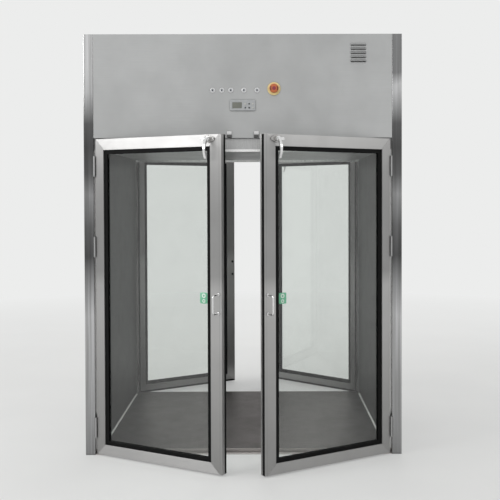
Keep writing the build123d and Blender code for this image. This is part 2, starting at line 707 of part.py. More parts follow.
def make_roof_panel():
    """Flat roof sheet notched round the four posts."""
    with BuildPart() as roof:
        with BuildSketch(Plane.XY.offset(HEIGHT - SKIN)):
            Rectangle(WIDTH, DEPTH - 2 * POST)
            Rectangle(WIDTH - 2 * POST, DEPTH)
        extrude(amount=SKIN)
    save(roof.part, "roof_panel")


def make_ceiling_diffuser():
    """Slotted ceiling tray under the filters."""
    width, depth = 2 * LINER_X, 2 * STOP_BACK
    webs = (DIFFUSER_COLUMNS - 1) * DIFFUSER_WEB
    slot = (width - 2 * DIFFUSER_EDGE - webs) / DIFFUSER_COLUMNS
    row_pitch = (depth - 2 * DIFFUSER_END) / (DIFFUSER_ROWS - 1)
    with BuildPart() as diffuser:
        with BuildSketch(Plane.XY.offset(CEILING)):
            Rectangle(width, depth)
        extrude(amount=STOP_HEAD)
        with BuildSketch(Plane.XY.offset(CEILING + DIFFUSER_SHEET)):
            Rectangle(width - 2 * DIFFUSER_SHEET, depth - 2 * DIFFUSER_SHEET)
        extrude(amount=STOP_HEAD - DIFFUSER_SHEET, mode=Mode.SUBTRACT)
        with BuildSketch(Plane.XY.offset(CEILING)):
            with GridLocations(slot + DIFFUSER_WEB, row_pitch, DIFFUSER_COLUMNS, DIFFUSER_ROWS):
                Rectangle(slot, DIFFUSER_SLOT)
        extrude(amount=DIFFUSER_SHEET, mode=Mode.SUBTRACT)
    save(diffuser.part, "ceiling_diffuser")


# ================================================================ air plant
def outlet_rectangle(margin):
    """Blower outlet in plan, wider all round by a margin."""
    width = SCROLL_WIDTH - 2 * SCROLL_WALL + 2 * margin
    near, far = SCROLL_CUTOFF + SCROLL_WALL, SCROLL_FAR_Y - SCROLL_WALL
    with Locations((SCROLL_X + SCROLL_WIDTH / 2, (near + far) / 2)):
        Rectangle(width, far - near + 2 * margin)


def make_plenum_box():
    """Pressure box over the filters, with the ledge they sit on and the blower's inlet hole."""
    opening = (PLENUM_WIDTH - 3 * PLENUM_LEDGE) / 2
    with BuildPart() as plenum:
        with BuildSketch(Plane.XY.offset(PLENUM_BOTTOM)):
            Rectangle(PLENUM_WIDTH, PLENUM_DEPTH)
        extrude(amount=PLENUM_HEIGHT)
        with BuildSketch(Plane.XY.offset(PLENUM_BOTTOM + SKIN)):
            Rectangle(PLENUM_WIDTH - 2 * SKIN, PLENUM_DEPTH - 2 * SKIN)
        extrude(amount=PLENUM_HEIGHT - 2 * SKIN, mode=Mode.SUBTRACT)
        with BuildSketch(Plane.XY.offset(PLENUM_BOTTOM)):
            with GridLocations(opening + PLENUM_LEDGE, 0, 2, 1):
                Rectangle(opening, PLENUM_DEPTH - 2 * PLENUM_LEDGE)
        extrude(amount=SKIN, mode=Mode.SUBTRACT)
        with BuildSketch(Plane.XY.offset(PLENUM_TOP - SKIN)):
            outlet_rectangle(0)
        extrude(amount=SKIN, mode=Mode.SUBTRACT)
    save(plenum.part, "plenum_box")


def make_hepa_filters():
    """Two filter cells, each a rim round a pleated pack, side by side on the plenum's ledge."""
    pitch = PLENUM_WIDTH / 2 - SKIN
    width = pitch - FILTER_CLEARANCE
    depth = PLENUM_DEPTH - 2 * SKIN - 2 * FILTER_CLEARANCE
    bottom = PLENUM_BOTTOM + SKIN
    inside_width = width - 2 * FILTER_RIM
    inside_depth = depth - 2 * FILTER_RIM
    pack_width = inside_width - 2 * WELD_GAP
    pack_depth = inside_depth - 2 * WELD_GAP
    pleat = pack_width / FILTER_PLEATS
    rise = FILTER_HEIGHT - MEDIA_THICKNESS - 2 * WELD_GAP
    with BuildPart() as filters:
        with BuildSketch(Plane.XY.offset(bottom)):
            with GridLocations(pitch, 0, 2, 1):
                Rectangle(width, depth)
                Rectangle(inside_width, inside_depth, mode=Mode.SUBTRACT)
        extrude(amount=FILTER_HEIGHT)
        for cell in (-1, 1):
            start = cell * pitch / 2 - pack_width / 2
            lower = [(start + pleat * step / 2, rise * (step % 2))
                     for step in range(2 * FILTER_PLEATS + 1)]
            upper = [(x, z + MEDIA_THICKNESS) for x, z in reversed(lower)]
            face = Plane(origin=(0, 0, bottom + WELD_GAP), x_dir=(1, 0, 0), z_dir=(0, -1, 0))
            with BuildSketch(face):
                with BuildLine():
                    Polyline(*lower, *upper, close=True)
                make_face()
            extrude(amount=pack_depth / 2, both=True)
    save(filters.part, "hepa_filters")


def blower_plane(distance):
    """Plane across the blower shaft, a distance along it from the near side plate."""
    return Plane(origin=(SCROLL_X + distance, 0, SCROLL_AXIS_HEIGHT), x_dir=(0, 1, 0),
                 z_dir=(1, 0, 0))


def scroll_outline(wall, overrun):
    """Volute of three growing quarter turns, and the outlet that leads down from it."""
    far = SCROLL_FAR_Y - wall
    foot = -SCROLL_AXIS_RISE - overrun
    with BuildLine() as outline:
        CenterArc((0, 0), SCROLL_RADIUS - wall, 270, -90)
        CenterArc((SCROLL_GROWTH, 0), SCROLL_RADIUS + SCROLL_GROWTH - wall, 180, -90)
        CenterArc((SCROLL_GROWTH, -SCROLL_GROWTH), SCROLL_RADIUS + 2 * SCROLL_GROWTH - wall,
                  90, -90)
        Line((far, -SCROLL_GROWTH), (far, foot))
        Line((far, foot), (SCROLL_CUTOFF + wall, foot))
        Line((SCROLL_CUTOFF + wall, foot), (0, wall - SCROLL_RADIUS))
    make_face(outline.edges())


def make_blower_housing():
    """Scroll housing with a round inlet, a shaft opening and a flange on the plenum."""
    with BuildPart() as housing:
        with BuildSketch(blower_plane(0)):
            scroll_outline(0, 0)
        extrude(amount=SCROLL_WIDTH)
        with BuildSketch(Plane.XY.offset(PLENUM_TOP)):
            outlet_rectangle(OUTLET_FLANGE)
        extrude(amount=OUTLET_FLANGE_SHEET)
        with BuildSketch(blower_plane(SCROLL_WALL)):
            scroll_outline(SCROLL_WALL, OUTLET_FLANGE_SHEET)
        extrude(amount=SCROLL_WIDTH - 2 * SCROLL_WALL, mode=Mode.SUBTRACT)
        with BuildSketch(blower_plane(0)):
            Circle(INLET / 2)
        extrude(amount=SCROLL_WALL, mode=Mode.SUBTRACT)
        with BuildSketch(blower_plane(SCROLL_WIDTH - SCROLL_WALL)):
            Circle(SHAFT_OPENING / 2)
        extrude(amount=SCROLL_WALL, mode=Mode.SUBTRACT)
    save(housing.part, "blower_housing")


def make_blower_impeller():
    """Forward-curved wheel: ring, back plate, blades, hub and shaft."""
    outer = WHEEL / 2
    inner = outer - BLADE_DEPTH
    back = WHEEL_GAP + WHEEL_WIDTH - WHEEL_PLATE
    half = BLADE_DEPTH / 2 - BLADE_SHEET
    with BuildSketch() as blade:
        with BuildLine():
            ThreePointArc((-half, 0), (0, BLADE_BULGE), (half, 0))
            Line((half, 0), (half, BLADE_SHEET))
            ThreePointArc((half, BLADE_SHEET), (0, BLADE_BULGE + BLADE_SHEET), (-half, BLADE_SHEET))
            Line((-half, BLADE_SHEET), (-half, 0))
        make_face()
    with BuildPart() as impeller:
        with BuildSketch(blower_plane(back)):
            Circle(outer)
        extrude(amount=WHEEL_PLATE)
        with BuildSketch(blower_plane(WHEEL_GAP)):
            Circle(outer)
            Circle(inner, mode=Mode.SUBTRACT)
        extrude(amount=WHEEL_PLATE)
        with BuildSketch(blower_plane(WHEEL_GAP)):
            with PolarLocations(inner + BLADE_DEPTH / 2, BLADES):
                add(blade.sketch)
        extrude(amount=WHEEL_WIDTH)
        with BuildSketch(blower_plane(back - HUB_BOSS / 2)):
            Circle(HUB_BOSS / 2)
        extrude(amount=HUB_BOSS / 2)
        with BuildSketch(blower_plane(back)):
            Circle(SHAFT / 2)
        extrude(amount=SCROLL_WIDTH - back + SHAFT_IN_MOTOR)
    save(impeller.part, "blower_impeller")


def make_blower_motor():
    """Round motor flanged to the housing, with the bearing bore that carries the shaft."""
    with BuildPart() as motor:
        with BuildSketch(blower_plane(SCROLL_WIDTH)):
            Circle(MOTOR / 2)
        extrude(amount=MOTOR_LENGTH)
        rim = motor.edges().filter_by(GeomType.CIRCLE).sort_by(Axis.X)[-1]
        chamfer(rim, MOTOR_EDGE)
        with BuildSketch(blower_plane(SCROLL_WIDTH)):
            Circle(SHAFT / 2 + PIN_FIT)
        extrude(amount=SHAFT_IN_MOTOR + LATCH_CLEARANCE, mode=Mode.SUBTRACT)
    save(motor.part, "blower_motor")


# ================================================================ controls
def extrude_on_panel(places, radius, base, height, mode=Mode.ADD):
    """Discs on the front panel, from a stand-off outward."""
    with BuildSketch(FRONT_FACE.offset(base)) as profile:
        with Locations(*places):
            Circle(radius)
    extrude(profile.sketch, amount=height, mode=mode)


def make_button_bezels():
    """Metal rings with the blind barrels that guide the push buttons."""
    places = [(x, BUTTON_HEIGHT) for x in BUTTON_XS]
    bore = BUTTON_CAP / 2 + BUTTON_FIT
    with BuildPart() as bezels:
        extrude_on_panel(places, BEZEL / 2, 0, BEZEL_HEIGHT)
        extrude_on_panel(places, BARREL_TUBE / 2, -BARREL_TUBE_DEPTH, BARREL_TUBE_DEPTH)
        extrude_on_panel(places, bore, BUTTON_FLOOR - BARREL_TUBE_DEPTH,
                         BARREL_TUBE_DEPTH - BUTTON_FLOOR + BEZEL_HEIGHT, Mode.SUBTRACT)
    save(bezels.part, "button_bezels")


def make_push_buttons():
    """Five caps, each free to travel inward to the floor of its barrel."""
    inner_end = BUTTON_FLOOR - BARREL_TUBE_DEPTH + BUTTON_TRAVEL + BUTTON_FIT
    for number, x in enumerate(BUTTON_XS, start=1):
        with BuildPart() as cap:
            extrude_on_panel([(x, BUTTON_HEIGHT)], BUTTON_CAP / 2, inner_end,
                             BUTTON_PROUD - inner_end)
            rim = cap.edges().filter_by(GeomType.CIRCLE).sort_by(Axis.Y)[0]
            chamfer(rim, BUTTON_FIT)
        save(cap.part, f"push_button_{number}")


def make_estop():
    """Emergency stop: yellow collar with its barrel, and the red head that is pushed in."""
    place = [(ESTOP_X, ESTOP_HEIGHT)]
    bore = ESTOP_STEM / 2 + BUTTON_FIT
    with BuildPart() as collar:
        extrude_on_panel(place, ESTOP_COLLAR / 2, 0, ESTOP_COLLAR_HEIGHT)
        edge = collar.edges().filter_by(GeomType.CIRCLE).sort_by(Axis.Y)[0]
        chamfer(edge, ESTOP_COLLAR_HEIGHT / 4)
        extrude_on_panel(place, ESTOP_GUARD / 2, 0, ESTOP_GUARD_HEIGHT)
        extrude_on_panel(place, BARREL_TUBE / 2, -ESTOP_TUBE_DEPTH, ESTOP_TUBE_DEPTH)
        extrude_on_panel(place, bore, BUTTON_FLOOR - ESTOP_TUBE_DEPTH,
                         ESTOP_TUBE_DEPTH - BUTTON_FLOOR + ESTOP_GUARD_HEIGHT, Mode.SUBTRACT)
    save(collar.part, "estop_collar")

    under = ESTOP_GUARD_HEIGHT + ESTOP_TRAVEL + 2 * BUTTON_FIT
    brim = under + ESTOP_HEAD_HEIGHT - ESTOP_HEAD_CROWN
    with BuildPart() as head:
        with BuildSketch(Plane(origin=(ESTOP_X, -HALF_D, ESTOP_HEIGHT), x_dir=(1, 0, 0),
                               z_dir=(0, 0, 1))):
            with BuildLine():
                Polyline((0, ESTOP_STEM_DEPTH), (ESTOP_STEM / 2, ESTOP_STEM_DEPTH),
                         (ESTOP_STEM / 2, -under), (ESTOP_HEAD / 2 - ESTOP_HEAD_CROWN, -under),
                         (ESTOP_HEAD / 2, -under - ESTOP_HEAD_CROWN), (ESTOP_HEAD / 2, -brim),
                         (ESTOP_SHOULDER / 2, -brim - ESTOP_SHOULDER_RISE),
                         (ESTOP_FLAT / 2, -brim - ESTOP_HEAD_CROWN),
                         (0, -brim - ESTOP_HEAD_CROWN), close=True)
            make_face()
        revolve(axis=Axis((ESTOP_X, -HALF_D, ESTOP_HEIGHT), (0, 1, 0)))
    save(head.part, "estop_head")


def make_controller():
    """Filter controller: bezel with a sunk display window, membrane keys and a rear box."""
    centre = (CONTROLLER_X, CONTROLLER_HEIGHT)
    with BuildPart() as controller:
        with BuildSketch(FRONT_FACE):
            with Locations(centre):
                RectangleRounded(*CONTROLLER_FACE, CONTROLLER_CORNER)
        extrude(amount=CONTROLLER_PROUD)
        front = controller.faces().sort_by(Axis.Y)[0]
        chamfer(front.edges(), CONTROLLER_CHAMFER)
        with BuildSketch(FRONT_FACE):
            with Locations(centre):
                Rectangle(CONTROLLER_BOX[0], CONTROLLER_BOX[1])
        extrude(amount=-CONTROLLER_BOX[2])
        with BuildSketch(FRONT_FACE.offset(CONTROLLER_PROUD - DISPLAY_RECESS)):
            with Locations((CONTROLLER_X + DISPLAY_X, CONTROLLER_HEIGHT)):
                Rectangle(*DISPLAY)
        extrude(amount=DISPLAY_RECESS, mode=Mode.SUBTRACT)
        keys = [(CONTROLLER_X + x, CONTROLLER_HEIGHT + z) for x in KEY_XS for z in KEY_OFFSETS]
        extrude_on_panel(keys, KEY / 2, CONTROLLER_PROUD, KEY_PROUD)
    save(controller.part, "controller")


# ================================================================ build
for leaf in LEAVES:
    make_door_frame(leaf)
    make_door_glass(leaf)
    make_glazing_gasket(leaf)
    make_door_seals(leaf)
    make_door_handle(leaf)
    make_latch_base(leaf)
    make_latch_lever(leaf)
    make_hinge_door_plates(leaf)
make_hinge_post_plates()
make_hinge_pins()
make_latch_keepers()
make_corner_posts()
make_side_panels()
make_liners()
make_base_pan()
make_door_stop_frames()
make_header_panels()
make_roof_panel()
make_ceiling_diffuser()
make_plenum_box()
make_hepa_filters()
make_blower_housing()
make_blower_impeller()
make_blower_motor()
make_button_bezels()
make_push_buttons()
make_estop()
make_controller()
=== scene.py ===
import json
from math import cos, pi, radians, sin

import bmesh
import bpy
from mathutils import Matrix, Vector


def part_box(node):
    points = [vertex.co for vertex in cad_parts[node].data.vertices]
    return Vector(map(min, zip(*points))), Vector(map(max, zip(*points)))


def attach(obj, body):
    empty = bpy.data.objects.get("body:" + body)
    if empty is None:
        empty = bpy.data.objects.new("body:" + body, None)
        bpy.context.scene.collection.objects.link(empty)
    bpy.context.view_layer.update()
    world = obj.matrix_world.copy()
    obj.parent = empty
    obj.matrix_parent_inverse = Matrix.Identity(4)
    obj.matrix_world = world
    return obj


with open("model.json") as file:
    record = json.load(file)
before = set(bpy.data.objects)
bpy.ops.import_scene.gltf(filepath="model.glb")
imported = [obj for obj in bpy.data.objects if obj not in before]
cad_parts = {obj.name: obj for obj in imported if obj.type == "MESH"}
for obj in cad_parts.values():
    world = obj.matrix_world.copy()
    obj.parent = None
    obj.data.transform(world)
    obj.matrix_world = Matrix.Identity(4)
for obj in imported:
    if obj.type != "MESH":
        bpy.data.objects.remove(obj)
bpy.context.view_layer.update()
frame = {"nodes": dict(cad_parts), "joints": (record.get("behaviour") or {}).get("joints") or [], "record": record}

UP = Vector((0, 0, 1))

# ---------------------------------------------------------------- door leaves, from their joints
BARREL_RADIUS = 0.0055       # the hinge axis stands this far out of the leaf's outer face
LEAF_THICKNESS = 0.036
LEAF_NEAR = 0.0035           # reach of the leaf's hinge edge from the axis
LEAF_FAR = 0.7445            # reach of its free edge
LEAF_BOTTOM = 0.008
LEAF_TOP = 1.595
MEETING_STRIP = 0.012        # flat strip beyond the tube along the free edge
GLASS_DEPTH = 0.014          # outer face to the pane


class Leaf:
    """Axes of one open door leaf, read from its hinge joint."""

    def __init__(self, joint):
        self.body = joint["child"]
        self.name = self.body.removesuffix("_door")
        self.hand = -round(joint["axis"][2])
        self.axis = Vector((joint["pos_m"][0], joint["pos_m"][1], 0))
        shut = 0 if self.axis.x < 0 else 180
        self.heading = radians(shut + self.hand * joint["range_deg"][0])
        self.along = Vector((cos(self.heading), sin(self.heading), 0))
        self.outward = UP.cross(self.along) * -self.hand

    def place(self, reach, height, out):
        """Frame on the outer face: X level, Y up and Z outward."""
        face = self.outward * (out - BARREL_RADIUS)
        origin = self.axis + self.along * reach + UP * height + face
        return basis(origin, self.along * self.hand, UP, self.outward)

    def place_behind(self, reach, height):
        """Frame on the inner face, with Z pointing into the chamber."""
        origin = self.place(reach, height, -LEAF_THICKNESS).translation
        return basis(origin, self.along * -self.hand, UP, -self.outward)


def basis(origin, x, y, z):
    """Matrix with the given origin and axes."""
    matrix = Matrix((x, y, z)).transposed().to_4x4()
    matrix.translation = origin
    return matrix


LEAVES = [Leaf(joint) for joint in frame["joints"] if joint["name"].endswith("_door_swing")]
FRONT_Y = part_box("corner_posts")[0].y
POST_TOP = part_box("corner_posts")[1].z
STOP_LIP_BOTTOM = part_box("door_stop_frames")[0].z
STOP_LIP_TOP = 1.545         # the head's folded lip ends here
STOP_LIP_BACK = 0.6535       # depth from the middle, beyond which the lip lies
PAN_EDGE = 0.6595            # depth from the middle, beyond which the pan's outer faces lie


def front_place(x, height, out):
    """Frame on the header's front face: X right, Y up and Z towards the viewer."""
    return basis(Vector((x, FRONT_Y - out, height)), Vector((1, 0, 0)), UP, Vector((0, -1, 0)))


# ---------------------------------------------------------------- shader helpers
EDGE_RADIUS = 0.0008         # how far a sheet's edges look rounded
BRUSH_DEPTH = 0.0004         # height of the brush lines' bump
CREVICE = 0.010              # gaps narrower than this are painted dark, as shade
STRIP_SEAM = 0.0006          # half-widths of the dark joints on a leaf
MITRE_SEAM = 0.0008


class Shader:
    """Node tree of one material, with short calls for the nodes used below."""

    def __init__(self, name):
        self.material = bpy.data.materials.new(name)
        self.material.use_nodes = True
        self.tree = self.material.node_tree
        self.surface = self.tree.nodes["Principled BSDF"]
        self.coords = self.node("ShaderNodeTexCoord").outputs["Object"]

    def node(self, kind, **settings):
        made = self.tree.nodes.new(kind)
        for key, value in settings.items():
            setattr(made, key, value)
        return made

    def link(self, source, target):
        self.tree.links.new(source, target)

    def fixed(self, **values):
        """Set sockets of the surface shader to constants."""
        for key, value in values.items():
            self.surface.inputs[key.replace("_", " ")].default_value = value

    def stretched(self, scale, source=None):
        """Coordinates scaled by a triple, the object's own unless others are given."""
        mapping = self.node("ShaderNodeMapping")
        mapping.inputs["Scale"].default_value = scale
        self.link(source or self.coords, mapping.inputs["Vector"])
        return mapping.outputs["Vector"]

    def noise(self, scale, vector=None, detail=3.0, roughness=0.55, distortion=0.0):
        made = self.node("ShaderNodeTexNoise")
        made.inputs["Scale"].default_value = scale
        made.inputs["Detail"].default_value = detail
        made.inputs["Roughness"].default_value = roughness
        made.inputs["Distortion"].default_value = distortion
        self.link(vector or self.coords, made.inputs["Vector"])
        return made.outputs["Fac"]

    def span(self, value, low, high, start=0.0, end=1.0):
        """Map a value from low..high onto start..end, clamped."""
        made = self.node("ShaderNodeMapRange")
        for key, number in (("From Min", low), ("From Max", high), ("To Min", start),
                            ("To Max", end)):
            made.inputs[key].default_value = number
        self.link(value, made.inputs["Value"])
        return made.outputs["Result"]

    def math(self, operation, first, second=None):
        made = self.node("ShaderNodeMath", operation=operation)
        for socket, value in zip(made.inputs, (first, second)):
            if value is None:
                continue
            if isinstance(value, (int, float)):
                socket.default_value = value
            else:
                self.link(value, socket)
        return made.outputs["Value"]

    def mix(self, factor, first, second, blend="MIX"):
        """Mix two colours. Each is a tuple or an output."""
        made = self.node("ShaderNodeMix", data_type="RGBA", blend_type=blend)
        for socket, value in zip((made.inputs[0], *made.inputs[6:8]), (factor, first, second)):
            if isinstance(value, (int, float)):
                socket.default_value = value
            elif isinstance(value, tuple):
                socket.default_value = (*value[:3], 1.0)
            else:
                self.link(value, socket)
        return made.outputs[2]

    def ramp(self, value, stops):
        """Grey tone along a value from nought to one, from (value, tone) stops."""
        made = self.node("ShaderNodeValToRGB")
        elements = made.color_ramp.elements
        elements.remove(elements[1])
        elements[0].position = stops[0][0]
        elements[0].color = (*[stops[0][1]] * 3, 1)
        for place, tone in stops[1:]:
            elements.new(place).color = (tone, tone, tone, 1)
        self.link(value, made.inputs["Fac"])
        return made.outputs["Color"]

    def separate(self, vector=None):
        made = self.node("ShaderNodeSeparateXYZ")
        self.link(vector or self.coords, made.inputs["Vector"])
        return made.outputs

    def bump(self, height, strength, distance, normal=None):
        made = self.node("ShaderNodeBump")
        made.inputs["Strength"].default_value = strength
        made.inputs["Distance"].default_value = distance
        self.link(height, made.inputs["Height"])
        if normal is not None:
            self.link(normal, made.inputs["Normal"])
        return made.outputs["Normal"]

    def spread(self, tangent, strength):
        """Stretch reflections along a direction that is fixed on the piece."""
        turned = self.node("ShaderNodeVectorTransform", vector_type="VECTOR",
                           convert_from="OBJECT", convert_to="WORLD")
        if isinstance(tangent, tuple):
            turned.inputs[0].default_value = tangent
        else:
            self.link(tangent, turned.inputs[0])
        self.link(turned.outputs[0], self.surface.inputs["Tangent"])
        self.fixed(Anisotropic=strength)

    def line(self, value, half_width):
        """One where a value is nearly nought."""
        return self.math("LESS_THAN", self.math("ABSOLUTE", value), half_width)

    def soft_edges(self, radius=EDGE_RADIUS):
        """Normal that rounds sharp edges off."""
        made = self.node("ShaderNodeBevel", samples=4)
        made.inputs["Radius"].default_value = radius
        return made.outputs["Normal"]

    def painted_crevice_shade(self):
        """One on open faces, falling towards nought in narrow gaps and corners, where shade is painted in."""
        made = self.node("ShaderNodeAmbientOcclusion", samples=4)
        made.inputs["Distance"].default_value = CREVICE
        return self.span(made.outputs["AO"], 0.25, 0.85)

    def edge_mask(self, radius):
        """One along the edges and nought on flat faces."""
        dot = self.node("ShaderNodeVectorMath", operation="DOT_PRODUCT")
        self.link(self.soft_edges(radius), dot.inputs[0])
        self.link(self.node("ShaderNodeNewGeometry").outputs["True Normal"], dot.inputs[1])
        return self.span(dot.outputs["Value"], 0.8, 1.0, 1.0, 0.0)

    def use(self, color=None, roughness=None, normal=None):
        """Link what is given to the surface shader, and return the material."""
        for key, value in (("Base Color", color), ("Roughness", roughness), ("Normal", normal)):
            if value is not None:
                self.link(value, self.surface.inputs[key])
        return self.material


def shade(color, factor):
    """A colour made lighter or darker."""
    return tuple(min(channel * factor, 1.0) for channel in color[:3])


def brushed_finish(shader, color, roughness, grain, smudge, seam=None, painted_tones=None):
    """Brushed steel from a grain value: tone, gloss, smudges, worn edges, dark seams and painted shade in
    crevices.

    seam is a mask of dark joints, and the last argument is a tone of painted light and shade that multiplies the
    colour.
    """
    cloud = shader.noise(2.2, detail=4, roughness=0.6)
    smear = shader.noise(9, detail=5, roughness=0.7, distortion=0.6)
    tone = shader.mix(shader.span(grain, 0.3, 0.7), shade(color, 0.93), shade(color, 1.07))
    tone = shader.mix(shader.span(cloud, 0.35, 0.65, 0, smudge), tone, shade(color, 0.86))
    if painted_tones is not None:
        tone = shader.mix(1.0, tone, painted_tones, "MULTIPLY")
    edge = shader.edge_mask(0.0012)
    tone = shader.mix(shader.math("MULTIPLY", edge, 0.5), tone, shade(color, 1.35))
    # painted shade: darker in narrow gaps and corners
    tone = shader.mix(shader.painted_crevice_shade(), shade(color, 0.12), tone)
    if seam is not None:
        tone = shader.mix(shader.math("MULTIPLY", seam, 0.6), tone, shade(color, 0.3))
    gloss = shader.span(grain, 0.25, 0.75, roughness - 0.06, roughness + 0.06)
    gloss = shader.math("ADD", gloss, shader.span(smear, 0.45, 0.75, 0, 0.12 * smudge))
    shader.fixed(Metallic=1.0)
    normal = shader.bump(grain, 0.12, BRUSH_DEPTH, shader.soft_edges())
    return shader.use(tone, gloss, normal)


# Noise scales of a straight grain, small along it, and the way it spreads reflections
UPRIGHT = (700, 700, 5)
LEVEL = (5, 700, 700)
FORE_AND_AFT = (700, 5, 700)
SPREADS = {UPRIGHT: (1.0, 1.0, 0.0), LEVEL: (0.0, 0.0, 1.0)}
SHEET_SPREAD = 0.6
LEAF_SPREAD = 0.9


def straight_grain(shader, direction, source=None):
    """Value of the fine lines left by brushing one way."""
    return shader.noise(1.0, shader.stretched(direction, source), detail=5, roughness=0.7)


def brushed_steel(name, color, roughness, direction, smudge=0.5, tint=(1.0, 1.0, 1.0, 1.0)):
    """Sheet brushed one way. tint colours its reflections at a glancing angle."""
    shader = Shader(name)
    shader.fixed(Specular_Tint=tint)
    shader.spread(SPREADS[direction], SHEET_SPREAD)
    return brushed_finish(shader, color, roughness, straight_grain(shader, direction), smudge)


LOUVRE_X = 0.581             # middle of the louvres
LOUVRE_HALF = 0.037          # half their length
LOUVRE_PITCH = 0.0205
LOUVRE_MOUTH = 1.9795        # a little under the lowest louvre's mouth
LOUVRE_SPAN = 0.088          # lowest mouth to just over the highest
LOUVRE_SHADE_LINE = 0.0038         # height of the painted shade line at each mouth
MOUTH_SHADE_TONE = (0.08, 0.08, 0.08)


def louvred_steel(color):
    """Brushed header sheet with painted shade, a dark line, at the mouth of each louvre."""
    shader = Shader("header_steel")
    shader.spread(SPREADS[LEVEL], SHEET_SPREAD)
    x, y, z = shader.separate()
    above = shader.math("SUBTRACT", z, LOUVRE_MOUTH)
    mouth = shader.math("LESS_THAN", shader.math("MODULO", above, LOUVRE_PITCH), LOUVRE_SHADE_LINE)
    for inside in (shader.math("GREATER_THAN", above, 0.0),
                   shader.math("LESS_THAN", above, LOUVRE_SPAN),
                   shader.line(shader.math("SUBTRACT", x, LOUVRE_X), LOUVRE_HALF),
                   shader.math("LESS_THAN", y, 0.0)):
        mouth = shader.math("MULTIPLY", mouth, inside)
    # painted shade: a dark line along the mouth of each louvre
    dust_and_shade = shader.mix(mouth, (1.0, 1.0, 1.0), MOUTH_SHADE_TONE)
    return brushed_finish(shader, color, 0.40, straight_grain(shader, LEVEL), 0.9, painted_tones=dust_and_shade)


# painted reflections up the leaf: (share of the leaf's height, tone)
LEAF_REFLECTION_TONES = ((0.0, 0.70), (0.2, 0.80), (0.42, 0.97), (0.54, 1.0), (0.585, 0.70), (0.75, 0.68),
              (0.9, 0.76), (1.0, 0.95))


def leaf_steel(leaf, color):
    """Brushed tube of a door leaf, with the grain along each member up to the mitres and painted reflections in
    bands up its height.
    """
    shader = Shader(f"{leaf.name}_frame_steel")
    shifted = shader.node("ShaderNodeMapping", vector_type="TEXTURE")
    shifted.inputs["Location"].default_value = leaf.axis
    shifted.inputs["Rotation"].default_value = (0, 0, leaf.heading)
    shader.link(shader.coords, shifted.inputs["Vector"])
    local = shifted.outputs["Vector"]
    reach, _, height = shader.separate(local)
    to_strip = shader.math("SUBTRACT", LEAF_FAR - MEETING_STRIP, reach)
    from_side = shader.math("MINIMUM", shader.math("SUBTRACT", reach, LEAF_NEAR), to_strip)
    from_end = shader.math("MINIMUM", shader.math("SUBTRACT", height, LEAF_BOTTOM),
                           shader.math("SUBTRACT", LEAF_TOP, height))
    is_rail = shader.math("LESS_THAN", from_end, from_side)
    seam = shader.math("MAXIMUM", shader.line(to_strip, STRIP_SEAM),
                       shader.line(shader.math("SUBTRACT", from_end, from_side), MITRE_SEAM))
    grain = shader.node("ShaderNodeMix", data_type="FLOAT")
    shader.link(is_rail, grain.inputs["Factor"])
    shader.link(straight_grain(shader, UPRIGHT, local), grain.inputs[2])
    shader.link(straight_grain(shader, LEVEL, local), grain.inputs[3])
    tangent = shader.node("ShaderNodeMix", data_type="VECTOR")
    shader.link(is_rail, tangent.inputs["Factor"])
    tangent.inputs[4].default_value = leaf.along
    tangent.inputs[5].default_value = UP
    shader.spread(tangent.outputs[1], LEAF_SPREAD)
    # painted reflections: lighter and darker bands up the leaf
    painted_tones = shader.ramp(shader.span(height, 0, LEAF_TOP), LEAF_REFLECTION_TONES)
    return brushed_finish(shader, color, 0.42, grain.outputs[0], 0.6, seam, painted_tones)


# painted reflections up the post: (share of the post's height, tone)
POST_REFLECTION_TONES = ((0.0, 0.28), (0.08, 0.34), (0.16, 0.38), (0.33, 0.47), (0.40, 0.28), (0.47, 0.08),
              (0.54, 0.13), (0.62, 0.28), (0.67, 0.12), (0.73, 0.085), (0.79, 0.12),
              (0.865, 0.50), (0.92, 0.58), (1.0, 0.60))


def polished_post():
    """Near-mirror bent sheet, with painted reflections in soft bands up its length, and upright streaks.

    The right-hand posts are painted darker towards the top, without the painted reflection there.
    """
    shader = Shader("polished_post")
    streak = shader.noise(1.0, shader.stretched((60, 60, 1.2)), detail=3)
    grain = shader.noise(1.0, shader.stretched(UPRIGHT), detail=4, roughness=0.7)
    drift = shader.noise(1.0, shader.stretched((9, 9, 1.5)))
    x, _, z = shader.separate()
    height = shader.math("ADD", shader.span(z, 0, POST_TOP),
                         shader.span(drift, 0.3, 0.7, -0.01, 0.01))
    # painted reflections: tone bands up the post, and darker tops on the right-hand posts
    painted_tones = shader.ramp(height, POST_REFLECTION_TONES)
    right_top_darker = shader.math("MULTIPLY", shader.span(height, 0.88, 0.91), shader.span(x, -0.1, 0.1))
    painted_tones = shader.mix(right_top_darker, painted_tones, (0.22, 0.22, 0.22))
    lively = shader.mix(shader.span(streak, 0.35, 0.65), (0.8, 0.8, 0.8), (1.22, 1.22, 1.24))
    tone = shader.mix(1.0, painted_tones, lively, "MULTIPLY")
    # painted shade: darker in narrow gaps and corners
    tone = shader.mix(shader.painted_crevice_shade(), (0.03, 0.03, 0.03), tone)
    gloss = shader.span(grain, 0.3, 0.7, 0.15, 0.26)
    shader.fixed(Metallic=1.0)
    return shader.use(tone, gloss, shader.bump(grain, 0.08, BRUSH_DEPTH, shader.soft_edges(0.0015)))


